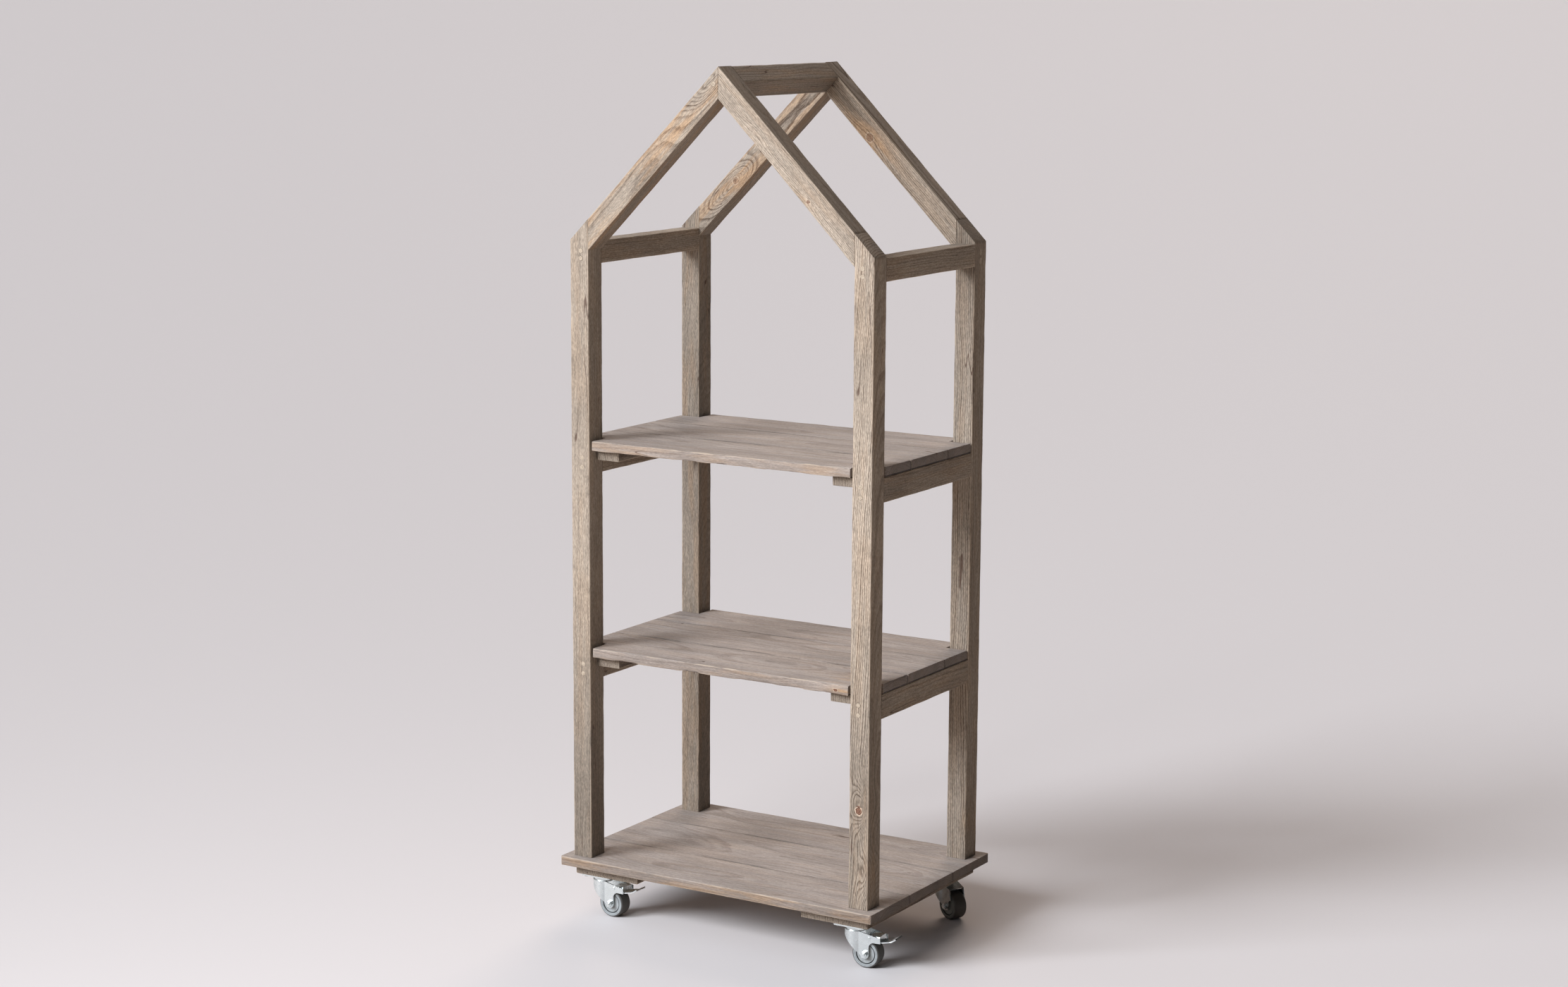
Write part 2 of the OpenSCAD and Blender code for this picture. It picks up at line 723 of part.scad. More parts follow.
// Side view of a fork, with X along the trail and Y up
module fork_side(braked) {
    rear_x = braked ? lug_x : trail + fork_back;
    rear_top = [braked ? lug_x : trail + fork_back_top, lug_top];
    rear_z = braked ? lug_bottom : wheel_r + foot_curve_rise;
    curve_r = braked ? lug_curve_r : rear_x - foot_x;
    // The front edge runs from the head's nose down to the foot and touches it
    nose = [-fork_head_r, fork_top - fork_nose_h];
    axle = [trail, wheel_r];
    reach = norm(axle - nose);
    way = atan2(axle[1] - nose[1], axle[0] - nose[0]) - asin(fork_foot_r / reach);
    touch = nose + sqrt(pow(reach, 2) - pow(fork_foot_r, 2)) * [cos(way), sin(way)];
    translate(axle) circle(fork_foot_r);
    polygon([
        nose, touch, axle, [foot_x, wheel_r], [foot_x, rear_z], [rear_x, rear_z],
        rear_top, [crease_x, fork_top], [-fork_head_r, fork_top]
    ]);
    difference() {
        translate([foot_x, rear_z - curve_r]) square([curve_r, curve_r + cut]);
        translate([foot_x + curve_r, rear_z - curve_r]) circle(curve_r);
    }
}

// Plan of a fork: a round head whose flat sides run back as far as x1
module fork_plan(head_r, side, x1) {
    circle(head_r);
    translate([0, -side]) square([x1, 2 * side]);
}

// Top of a fork: the round head, and on a plain fork a sheet that slopes back over the wheel
module fork_web(braked) {
    intersection() {
        translate([0, 0, web_z]) cylinder(r = fork_head_r, h = fork_t);
        translate([-fork_head_r, -huge / 2, 0]) cube([fork_head_r + crease_x, huge, huge]);
    }
    if (!braked) rotate([90, 0, 0]) translate([0, 0, -fork_out]) linear_extrude(2 * fork_out)
        polygon(sheet([[trail + fork_back_top, lug_top], [crease_x, fork_top], [0, fork_top]], fork_t));
}

// Sheet steel fork; a brake fork also holds the riveted pin of its pedal
module fork(c, braked) {
    color(zinc) at_turned_caster(c) {
        difference() {
            union() {
                intersection() {
                    rotate([90, 0, 0]) translate([0, 0, -fork_head_r]) linear_extrude(2 * fork_head_r)
                        fork_side(braked);
                    linear_extrude(fork_top) difference() {
                        fork_plan(fork_head_r, fork_out, lug_x + cut);
                        fork_plan(fork_head_r - fork_t, fork_in, lug_x + 2 * cut);
                    }
                }
                fork_web(braked);
                race(fork_top - fork_t / 2, ball_z - race_gap / 2);
            }
            translate([0, 0, web_z - cut]) cylinder(r = kingpin_d / 2 + turn_fit, h = caster_rise);
            translate([trail, fork_out + cut, wheel_r]) rotate([90, 0, 0])
                cylinder(r = axle_d / 2 + fit, h = 2 * (fork_out + cut));
        }
        if (braked) translate([pin_x, 0, pin_z]) rotate([90, 0, 0]) {
            translate([0, 0, -fork_out]) cylinder(d = pedal_pin_d, h = 2 * fork_out);
            for (z = [-fork_out - rivet_h, fork_out - rivet_h])
                translate([0, 0, z]) cylinder(d = rivet_d, h = 2 * rivet_h);
        }
    }
}

// Hexagon across flats w
module hexagon(w) {
    circle(d = w / cos(30), $fn = 6);
}

// Axle bolt, its nut and the tube that the wheel turns on
module axle(c) {
    color(zinc) at_axle(c) {
        translate([0, 0, -fork_out]) cylinder(d = axle_d, h = 2 * fork_out + axle_nut_h + axle_end);
        translate([0, 0, -fork_out - axle_head_h]) linear_extrude(axle_head_h) hexagon(axle_hex);
        difference() {
            translate([0, 0, fork_out]) linear_extrude(axle_nut_h) hexagon(axle_hex);
            translate([0, 0, fork_out - cut]) cylinder(r = axle_d / 2 + fit, h = axle_nut_h + 2 * cut);
        }
        difference() {
            translate([0, 0, -fork_in]) cylinder(d = axle_tube_d, h = 2 * fork_in);
            translate([0, 0, -fork_in - cut]) cylinder(r = axle_d / 2 + fit, h = 2 * (fork_in + cut));
        }
    }
}

// Wheel body: hub, disc, groove and rim, the same on both sides
module wheel(c) {
    bore_r = axle_tube_d / 2 + turn_fit;
    rim_half = wheel_w / 2 - rim_set;
    color(disc_grey) at_axle(c) rotate_extrude() polygon(both_sides([
        [bore_r, hub_half], [hub_r, hub_half], [hub_r, disc_half], [disc_r, disc_half],
        [disc_r, disc_half - groove_depth], [disc_r + groove_w, disc_half - groove_depth],
        [disc_r + groove_w, rim_half], [rim_r, rim_half]
    ]));
}

// Tyre with round shoulders
module tyre(c) {
    inner_r = rim_r + fit;
    crown = wheel_r - tyre_shoulder_r;
    half = wheel_w / 2 - tyre_shoulder_r;
    color(tyre_grey) at_axle(c) rotate_extrude() intersection() {
        translate([inner_r, -wheel_w / 2]) square([wheel_r - inner_r, wheel_w]);
        union() {
            translate([inner_r, -wheel_w / 2]) square([crown - inner_r, wheel_w]);
            translate([inner_r, -half]) square([wheel_r - inner_r, 2 * half]);
            for (y = [-half, half])
                translate([crown, y]) circle(tyre_shoulder_r);
        }
    }
}

// Lays a side view across the caster, w wide
module across(w) {
    translate([0, w / 2, 0]) rotate([90, 0, 0]) linear_extrude(w) children();
}

// Brake pedal: an eye round the pin, a top plate that drops behind the lugs into a tongue, and a shoe
module brake_pedal(c) {
    top_z = wheel_d + pedal_rise - pedal_t;
    eye_r = pedal_pin_d / 2 + pedal_t;
    heel = [lug_x - pedal_t, tongue_z - pedal_t];
    bend = heel + tongue_l * [cos(tongue_slope), sin(tongue_slope)];
    bend_mid = bend + tongue_r * [-sin(tongue_slope), cos(tongue_slope)];
    tip = [for (i = [1:bend_steps])
        let (a = tongue_slope + (tip_slope - tongue_slope) * i / bend_steps)
            bend_mid + tongue_r * [sin(a), -cos(a)]];
    // The wheel as the pedal sees it when the pedal is down
    pin = [pin_x, pin_z];
    arm = [trail, wheel_r] - pin;
    pressed = pin + [
        arm[0] * cos(brake_angle) - arm[1] * sin(brake_angle),
        arm[0] * sin(brake_angle) + arm[1] * cos(brake_angle)
    ];
    // Height at x of the shoe's flat sole, which the pressed pedal holds square to the tyre, the gap away
    shoe_x = pin_x + shoe_l;
    square_to = unit([(pin_x + shoe_x) / 2, wheel_d] - pressed);
    function sole_z(x) = pressed[1] + (wheel_r + shoe_gap - (x - pressed[0]) * square_to[0]) / square_to[1];
    color(zinc) at_turned_caster(c) difference() {
        union() {
            across(pedal_w) {
                translate(pin) circle(eye_r);
                polygon(sheet([[pin_x, top_z], [lug_x - 2 * pedal_t, top_z], heel, bend], pedal_t));
            }
            across(tongue_w) polygon(sheet(concat(
                [heel + (2 * pedal_t + side_play) * [cos(tongue_slope), sin(tongue_slope)], bend], tip
            ), pedal_t));
            across(shoe_w) polygon([
                [pin_x, top_z], [shoe_x, top_z], [shoe_x, sole_z(shoe_x)], [pin_x, sole_z(pin_x)]
            ]);
        }
        translate([pin_x, fork_in, pin_z]) rotate([90, 0, 0])
            cylinder(r = pedal_pin_d / 2 + turn_fit, h = 2 * fork_in);
    }
}

post(LEFT, FRONT);  // post_front_left
post(RIGHT, FRONT);  // post_front_right
post(LEFT, REAR);  // post_rear_left
post(RIGHT, REAR);  // post_rear_right
rafter(LEFT, FRONT);  // rafter_front_left
rafter(RIGHT, FRONT);  // rafter_front_right
rafter(LEFT, REAR);  // rafter_rear_left
rafter(RIGHT, REAR);  // rafter_rear_right
ridge_beam();
side_rail(LEFT, eave_rail_z, eave_rail_h);  // eave_rail_left
side_rail(RIGHT, eave_rail_z, eave_rail_h);  // eave_rail_right
side_rail(LEFT, upper_rail_z, rail_h);  // upper_rail_left
side_rail(RIGHT, upper_rail_z, rail_h);  // upper_rail_right
side_rail(LEFT, lower_rail_z, rail_h);  // lower_rail_left
side_rail(RIGHT, lower_rail_z, rail_h);  // lower_rail_right
base_plank(0);  // base_plank_front
base_plank(1);  // base_plank_middle
base_plank(2);  // base_plank_rear
base_batten(LEFT);  // base_batten_left
base_batten(RIGHT);  // base_batten_right
screw_plugs();
frame_screws();
base_screws();
caster_screws();
shelf_plank(0, upper_rail_z);  // upper_shelf_plank_front
shelf_plank(1, upper_rail_z);  // upper_shelf_plank_middle
shelf_plank(2, upper_rail_z);  // upper_shelf_plank_rear
shelf_batten(LEFT, upper_rail_z);  // upper_shelf_batten_left
shelf_batten(RIGHT, upper_rail_z);  // upper_shelf_batten_right
shelf_screws(upper_rail_z);  // upper_shelf_screws
shelf_plank(0, lower_rail_z);  // lower_shelf_plank_front
shelf_plank(1, lower_rail_z);  // lower_shelf_plank_middle
shelf_plank(2, lower_rail_z);  // lower_shelf_plank_rear
shelf_batten(LEFT, lower_rail_z);  // lower_shelf_batten_left
shelf_batten(RIGHT, lower_rail_z);  // lower_shelf_batten_right
shelf_screws(lower_rail_z);  // lower_shelf_screws
caster_plate(FRONT_LEFT);  // caster_plate_front_left
caster_plate(FRONT_RIGHT);  // caster_plate_front_right
caster_plate(REAR_LEFT);  // caster_plate_rear_left
caster_plate(REAR_RIGHT);  // caster_plate_rear_right
caster_kingpins();
swivel_balls();
fork(FRONT_LEFT, true);  // fork_front_left
fork(FRONT_RIGHT, true);  // fork_front_right
fork(REAR_LEFT, false);  // fork_rear_left
fork(REAR_RIGHT, false);  // fork_rear_right
axle(FRONT_LEFT);  // axle_front_left
axle(FRONT_RIGHT);  // axle_front_right
axle(REAR_LEFT);  // axle_rear_left
axle(REAR_RIGHT);  // axle_rear_right
wheel(FRONT_LEFT);  // wheel_front_left
wheel(FRONT_RIGHT);  // wheel_front_right
wheel(REAR_LEFT);  // wheel_rear_left
wheel(REAR_RIGHT);  // wheel_rear_right
tyre(FRONT_LEFT);  // tyre_front_left
tyre(FRONT_RIGHT);  // tyre_front_right
tyre(REAR_LEFT);  // tyre_rear_left
tyre(REAR_RIGHT);  // tyre_rear_right
brake_pedal(FRONT_LEFT);  // brake_pedal_front_left
brake_pedal(FRONT_RIGHT);  // brake_pedal_front_right
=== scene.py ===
"""Looks of a house-shaped shelf unit of weathered softwood, on four swivel casters.

Each timber is remade from its solid with worn faces and arrises, and gets a wood of its own: growth
rings round a pith, knots, a grey stain, and warm heartwood where the stain is thin. The casters' sheet
steel gets small round edges and its zinc, and the wheels get their plastic and rubber.
"""
import json
import math
import random
from dataclasses import dataclass, field, replace

import bmesh
import bpy
from mathutils import Matrix, Vector, noise

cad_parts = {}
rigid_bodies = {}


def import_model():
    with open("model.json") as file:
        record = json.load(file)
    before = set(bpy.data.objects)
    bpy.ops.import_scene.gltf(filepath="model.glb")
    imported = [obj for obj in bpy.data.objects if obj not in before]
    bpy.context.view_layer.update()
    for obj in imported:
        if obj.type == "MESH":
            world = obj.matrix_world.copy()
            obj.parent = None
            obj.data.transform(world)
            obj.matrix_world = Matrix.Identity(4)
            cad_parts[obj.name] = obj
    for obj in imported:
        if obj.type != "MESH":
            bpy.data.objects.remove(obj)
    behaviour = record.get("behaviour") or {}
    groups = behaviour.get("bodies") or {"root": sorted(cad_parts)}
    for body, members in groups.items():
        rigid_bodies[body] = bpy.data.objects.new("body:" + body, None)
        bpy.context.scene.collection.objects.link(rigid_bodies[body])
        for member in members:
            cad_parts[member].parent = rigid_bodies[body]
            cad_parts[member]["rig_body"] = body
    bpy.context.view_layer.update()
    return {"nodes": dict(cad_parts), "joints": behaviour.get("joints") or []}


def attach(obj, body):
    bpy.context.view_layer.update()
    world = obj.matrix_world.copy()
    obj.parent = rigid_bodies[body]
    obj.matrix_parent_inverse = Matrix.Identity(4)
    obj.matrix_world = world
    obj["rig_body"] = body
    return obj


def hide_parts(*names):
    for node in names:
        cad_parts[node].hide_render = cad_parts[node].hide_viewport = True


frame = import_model()


def rgb(red, green, blue):
    """Linear colour from the red, green and blue of a screen colour, 0 to 255."""
    def linear(c):
        c /= 255
        return c / 12.92 if c <= 0.04045 else ((c + 0.055) / 1.055) ** 2.4
    return (linear(red), linear(green), linear(blue), 1)


# Camera of the photograph: its place and reach in metres, its angles in degrees, its focal length in
# pixels of the image, and its sensor in millimetres
CAMERA_PLACE = Vector((2.6437, -4.3143, 1.6471))
CAMERA_AZIMUTH = 31.366
CAMERA_ELEVATION = 9.927
CAMERA_ROLL = 0.337
CAMERA_REACH = 1000
IMAGE_WIDTH = 2224
FOCAL_PIXELS = 4184.9
SENSOR_WIDTH = 36

# Floor: its radius in metres. It looks pale, but the light that it throws back is warm
FLOOR_RADIUS = 400
FLOOR_SIDES = 96
FLOOR_SEEN = (0.708, 0.687, 0.701, 1)
FLOOR_BOUNCE = (0.62, 0.53, 0.46, 1)
FLOOR_ROUGHNESS = 0.8

# Sky: how bright it looks, and how bright it shines on its dim and on its bright side, the front left
SKY_COLOUR = rgb(248, 245, 247)
SKY_SEEN = 0.7
SKY_DIM = 0.03
SKY_BRIGHT = 0.55
SKY_SIDE = Vector((-0.62, -0.6, 0.5))

# Each sun's name, direction, softness in degrees, power and colour
SUNS = [
    ("key sun", (0.5, 0.76, -0.5), 26, 3.4, (0.917, 0.954, 1)),
    ("back sun", (0.25, -0.8, -0.6), 30, 0.95, (1, 0.8, 0.66)),
]
SOFTBOX_PLACE = Vector((-0.2, -2.3, 1.7))
SOFTBOX_AIM = Vector((0, 0, 0.9))
SOFTBOX_SIZE = 0.8
SOFTBOX_POWER = 24

# Directions that the grain runs in
ROOF_PITCH = math.radians(45)
X, Y, Z = Vector((1, 0, 0)), Vector((0, 1, 0)), Vector((0, 0, 1))
SLOPE_LEFT = Vector((math.cos(ROOF_PITCH), 0, math.sin(ROOF_PITCH)))
SLOPE_RIGHT = Vector((-math.cos(ROOF_PITCH), 0, math.sin(ROOF_PITCH)))

MM_PER_METRE = 1000

# Wear of the timber, in metres: how wide its arrises are rounded, how deep its faces are worn, and how
# deep its arrises are, which is most on the front boards of the shelves
EASED = 0.001
EASED_BOARD = 0.0005
WORN = 0.0002
ARRIS_WEAR = 0.0007
FRONT_WEAR = 0.0036
# Points that lie deeper than this in a timber, such as those of its screw holes, aren't worn
SKIN = 0.0012
# Sizes of the worn spots, across the grain and along it, in metres
FLOW_SPOTS = (0.014, 0.11)
DENT_SPOTS = (0.006, 0.018)
ARRIS_SPOTS = (0.05, 0.035)
# Faces are cut this small before they are worn: across, through and along the grain, in metres
TIMBER_STEPS = (0.0047, 0.0047, 0.014)
BOARD_STEPS = (0.006, 0.004, 0.014)

# An arris is rounded if it is longer than this, in metres, and its faces turn by more than this
LONG_ARRIS = 0.012
SQUARE_ARRIS = math.radians(70)
# A point lies on an arris if its normal has less than this along every direction of the timber
ARRIS_FACING = 0.96
# Width of the round edges of the casters' sheet steel, in metres
SHEET_EDGE = 0.0003
# Faces that turn by less than these look smooth, and count as one flat face
SMOOTH_ANGLE = math.radians(50)
FLAT_ANGLE = math.radians(0.5)
# Points this close are one, in metres
WELD = 1e-6

# Colours of the wood's details
WARM_EARLY = rgb(184, 155, 126)
WARM_LATE = rgb(126, 96, 72)
RUBBED = rgb(188, 172, 154)
KNOT_PALE = rgb(132, 98, 80)
KNOT_DARK = rgb(84, 54, 44)
KNOT_RIM = rgb(206, 188, 168)
BARK = rgb(70, 44, 32)

# Streaks and spots of the wood: their size across the grain and along it, in millimetres
FIBRES = (0.9, 26)
SPECKS = (0.9, 5)
FLECKS = (2.1, 7)
PATCHES = (40, 190)
THIN_STAIN = (14, 150)
RUBBED_SPOTS = (6, 45)
CRACKS = (22, 420)
CRACKED_SPOTS = (30, 130)
SEAM_SPOTS = (60, 120)

# Bands of rubbed arrises, of the painted shade in seams and of the painted shadow along the arris that a
# shelf's ends rest on: how far from the edge they begin, and how far from it they are full, in millimetres
ARRIS_BAND = (2.6, 0.6)
SEAM_BAND = (4.5, 1.125)
REST_SHADOW_BAND = (3.2, 1.28)
# Height over which a post darkens towards its foot, in millimetres
FOOT_HEIGHT = 600
# Cosines from which a face begins to count as turned to a direction, and from which it fully does
FACING = (0.7, 0.95)

# Growth rings: where in a year the wood darkens and where the year ends, as shares of the year
LATE_YEAR = (0.36, 0.86)
YEAR_END = (1.0, 0.93)
# Good and bad seasons: how often they change in a millimetre, and how many rings they shift
SEASON_CHANGE = 0.11
SEASON_RINGS = 1.6
# How often the rings bend, wave and shake in a millimetre, along each axis, and how far the last two do
RING_BENDS = (0.008, 0.008, 0.0028)
RING_WAVES = (0.06, 0.06, 0.012)
WAVE_SIZE = 2.6
RING_SHAKES = (0.3, 0.3, 0.07)
SHAKE_SIZE = 0.45
# The same for the outline of a knot
KNOT_WOBBLES = (0.2, 0.2, 0.2)
WOBBLE_SIZE = 5
# How much a length along the grain counts in a knot's outline, and in the flow of the grain round it
KNOT_STRETCH = 0.86
FLOW_STRETCH = 0.34
# How fast the bulge of the rings round a knot fades with each radius
SWELL_FADE = 0.42
# A knot's rings in each radius, and its outline, dark bark line and pale rim in radii
KNOT_RINGS = 2.3
KNOT_EDGE = (1.22, 1.08)
BARK_START = (0.66, 0.76)
BARK_END = (0.9, 0.8)
RIM_START = (0.82, 0.94)
# How far the pith of a piece may lie from where its kind has it, in millimetres
PITH_SPREAD = 30
# How far apart in a tree two pieces are cut whose seeds differ by one, in millimetres
TREE_LENGTH = 977

# Spots in a metre: blotches and scratches of the plating, along each axis, the fine skin of plastic and
# rubber, and the clouds of dust on them and on the plugs
BLOTCHES = 90
SCRATCHES = (900, 900, 60)
FINE_SKIN = 1400
DUST_CLOUDS = 60
PLUG_CLOUDS = 320

# Finishes of the casters, the screws and the plugs; the rear casters' zinc is darker, as painted shade from
# the base above
ZINC = rgb(228, 234, 234)
SHADE_PAINTED_ZINC = rgb(196, 198, 196)
SCREW_STEEL = rgb(170, 168, 162)
PLUG_PALE = rgb(180, 166, 149)
PLUG_DARK = rgb(128, 113, 98)
# Colour of a wheel's disc and of its tyre; the rear wheels' colours are darker, as painted shade from the
# base above
FRONT_WHEEL = (rgb(156, 162, 165), rgb(146, 153, 157))
SHADE_PAINTED_REAR_WHEEL = (rgb(118, 121, 117), rgb(92, 94, 90))
# Colour of the dust on a wheel's disc, which also paints shade in its groove, and of the dust and dirt on a
# tyre
WHEEL_DUST_AND_GROOVE_SHADE = rgb(40, 42, 44)
TYRE_DIRT = rgb(58, 54, 50)
# Darker parts of a wheel, as distances from its axle in millimetres: the groove of its disc, with painted
# shade, and the tread of its tyre, with dirt; how blurred their borders are, and how much of the colour there
# the dark one takes
GROOVE = (16.1, 17.9)
TREAD = (22.6, 26)
DIRT_AND_SHADE_BLUR = 0.3
DIRT_AND_SHADE_SHARE = 0.85


class Tree:
    """Adds nodes to a node tree and links what is given for their sockets."""

    def __init__(self, tree):
        self.tree = tree

    def add(self, kind, inputs=None, **settings):
        """A new node with its settings and inputs."""
        node = self.tree.nodes.new(kind)
        for key, value in settings.items():
            setattr(node, key, value)
        for key, value in (inputs or {}).items():
            self.put(node.inputs[key], value)
        return node

    def put(self, socket, value):
        """Links another node's output to the socket, or sets it to a plain value."""
        if isinstance(value, bpy.types.NodeSocket):
            self.tree.links.new(value, socket)
        else:
            socket.default_value = value

    def math(self, operation, *values, clamp=False):
        """The result of an operation on numbers."""
        inputs = dict(enumerate(values))
        return self.add("ShaderNodeMath", inputs, operation=operation, use_clamp=clamp).outputs[0]

    def product(self, *values):
        """All values multiplied together."""
        total = values[0]
        for value in values[1:]:
            total = self.math("MULTIPLY", total, value)
        return total

    def vector(self, operation, *values):
        """The result of an operation on vectors, which is a vector or a number."""
        node = self.add("ShaderNodeVectorMath", dict(enumerate(values)), operation=operation)
        return node.outputs["Value" if operation in ("DOT_PRODUCT", "LENGTH") else "Vector"]

    def scale(self, vector, amount):
        """The vector times a number."""
        node = self.add("ShaderNodeVectorMath", {0: vector, "Scale": amount}, operation="SCALE")
        return node.outputs["Vector"]

    def jitter(self, vector, stretch, size, detail=2.0):
        """The vector moved about by up to half the size, by a noise stretched along each axis."""
        drift = self.noise(self.vector("MULTIPLY", vector, stretch), 1, detail, output="Color")
        return self.vector("ADD", vector, self.scale(self.vector("SUBTRACT", drift, (0.5,) * 3), size))

    def grey(self, value):
        """A grey as bright as the value."""
        return self.add("ShaderNodeCombineXYZ", {0: value, 1: value, 2: value}).outputs[0]

    def step(self, value, low, high, start=0.0, end=1.0):
        """A smooth step of value from start at low to end at high."""
        inputs = {"Value": value, "From Min": low, "From Max": high, "To Min": start, "To Max": end}
        return self.add("ShaderNodeMapRange", inputs, interpolation_type="SMOOTHSTEP").outputs["Result"]

    def near_end(self, place, half, band):
        """0 up to the band's first distance from the end of a half length, and 1 from its second."""
        begins, full = band
        return self.step(place, half - begins, half - full)

    def noise(self, vector, scale, detail=2.0, roughness=0.5, output="Fac"):
        """A noise over the vector."""
        inputs = {"Vector": vector, "Scale": scale, "Detail": detail, "Roughness": roughness}
        return self.add("ShaderNodeTexNoise", inputs).outputs[output]

    def streaks(self, vector, size, detail=2.0, roughness=0.5):
        """A noise whose spots have a size across the grain and along it."""
        across, along = size
        stretch = (1 / across, 1 / across, 1 / along)
        return self.noise(self.vector("MULTIPLY", vector, stretch), 1, detail, roughness)

    def mix(self, share, one, other, blend="MIX"):
        """Colours one and other, blended by share."""
        node = self.add("ShaderNodeMix", data_type="RGBA", blend_type=blend, clamp_factor=True)
        for name, value in (("Factor_Float", share), ("A_Color", one), ("B_Color", other)):
            self.put(next(s for s in node.inputs if s.identifier == name), value)
        return next(s for s in node.outputs if s.identifier == "Result_Color")


def new_material(name):
    """A new material, its Tree and its shader."""
    material = bpy.data.materials.new(name)
    material.use_nodes = True
    return material, Tree(material.node_tree), material.node_tree.nodes["Principled BSDF"]


def new_group(name, inputs, outputs):
    """A new node group, its Tree, and its input and output sockets by name."""
    tree = bpy.data.node_groups.new(name, "ShaderNodeTree")
    for direction, sockets in (("INPUT", inputs), ("OUTPUT", outputs)):
        for key, kind in sockets.items():
            tree.interface.new_socket(key, in_out=direction, socket_type=f"NodeSocket{kind}")
    given = tree.nodes.new("NodeGroupInput").outputs
    out = tree.nodes.new("NodeGroupOutput").inputs
    return tree, Tree(tree), given, out


def knot_group():
    """One knot: grain flows round it as water round a post, and rings bulge there. In millimetres."""
    tree, t, given, out = new_group(
        "knot",
        {
            "Vector": "Vector", "Place": "Vector", "Square To": "Vector",
            "Radius": "Float", "Pull": "Float", "Seen": "Float", "Glow": "Float",
        },
        {"Vector": "Vector", "Bend": "Float", "Disc": "Float", "Ring": "Float", "Glow": "Float"},
    )

    def apart_from_knot(vector):
        """The vector from the knot's middle, without its part along the way that the knot goes."""
        return t.vector("MULTIPLY", t.vector("SUBTRACT", vector, given["Place"]), given["Square To"])

    def radii(vector, stretch):
        """Length of the vector in radii of a knot that is drawn out along the grain."""
        stretched = t.vector("MULTIPLY", vector, (1, 1, stretch))
        return t.math("DIVIDE", t.vector("LENGTH", stretched), given["Radius"])

    # The knot itself has a wobbly outline
    outline = apart_from_knot(t.jitter(given["Vector"], KNOT_WOBBLES, WOBBLE_SIZE, 3))
    distance = radii(outline, KNOT_STRETCH)
    t.put(out["Disc"], t.math("MULTIPLY", t.step(distance, *KNOT_EDGE), given["Seen"]))
    t.put(out["Ring"], distance)

    # The grain is pushed aside close to it, and the rings bulge over a longer stretch
    apart = apart_from_knot(given["Vector"])
    flow = radii(apart, FLOW_STRETCH)
    push = t.math("MULTIPLY", t.math("MINIMUM", t.math("POWER", flow, -2), 1.0), given["Seen"])
    aside = t.vector("MULTIPLY", apart, (1, 1, 0))
    t.put(out["Vector"], t.vector("SUBTRACT", given["Vector"], t.scale(aside, push)))
    spread = t.math("POWER", t.math("MULTIPLY", flow, SWELL_FADE), 2)
    swell = t.math("EXPONENT", t.math("MULTIPLY", spread, -1))
    t.put(out["Bend"], t.math("MULTIPLY", swell, given["Pull"]))
    t.put(out["Glow"], t.math("MULTIPLY", swell, given["Glow"]))
    return tree


def rings_group():
    """Growth rings round the pith, counted outwards. Lengths are in millimetres."""
    tree, t, given, out = new_group(
        "growth rings",
        {"Vector": "Vector", "Pith": "Vector", "Ring Width": "Float", "Wander": "Float"},
        {"Rings": "Float"},
    )
    bent = t.jitter(given["Vector"], RING_BENDS, given["Wander"], 1.5)
    waved = t.jitter(bent, RING_WAVES, WAVE_SIZE)
    shaken = t.jitter(waved, RING_SHAKES, SHAKE_SIZE)
    flat = t.vector("MULTIPLY", t.vector("SUBTRACT", shaken, given["Pith"]), (1, 1, 0))
    radius = t.vector("LENGTH", flat)
    years = t.math("DIVIDE", radius, given["Ring Width"])
    place = t.add("ShaderNodeCombineXYZ", {"X": t.math("MULTIPLY", radius, SEASON_CHANGE)}).outputs[0]
    seasons = t.noise(place, 1, 1)
    t.put(out["Rings"], t.math("ADD", years, t.math("MULTIPLY", seasons, SEASON_RINGS)))
    return tree


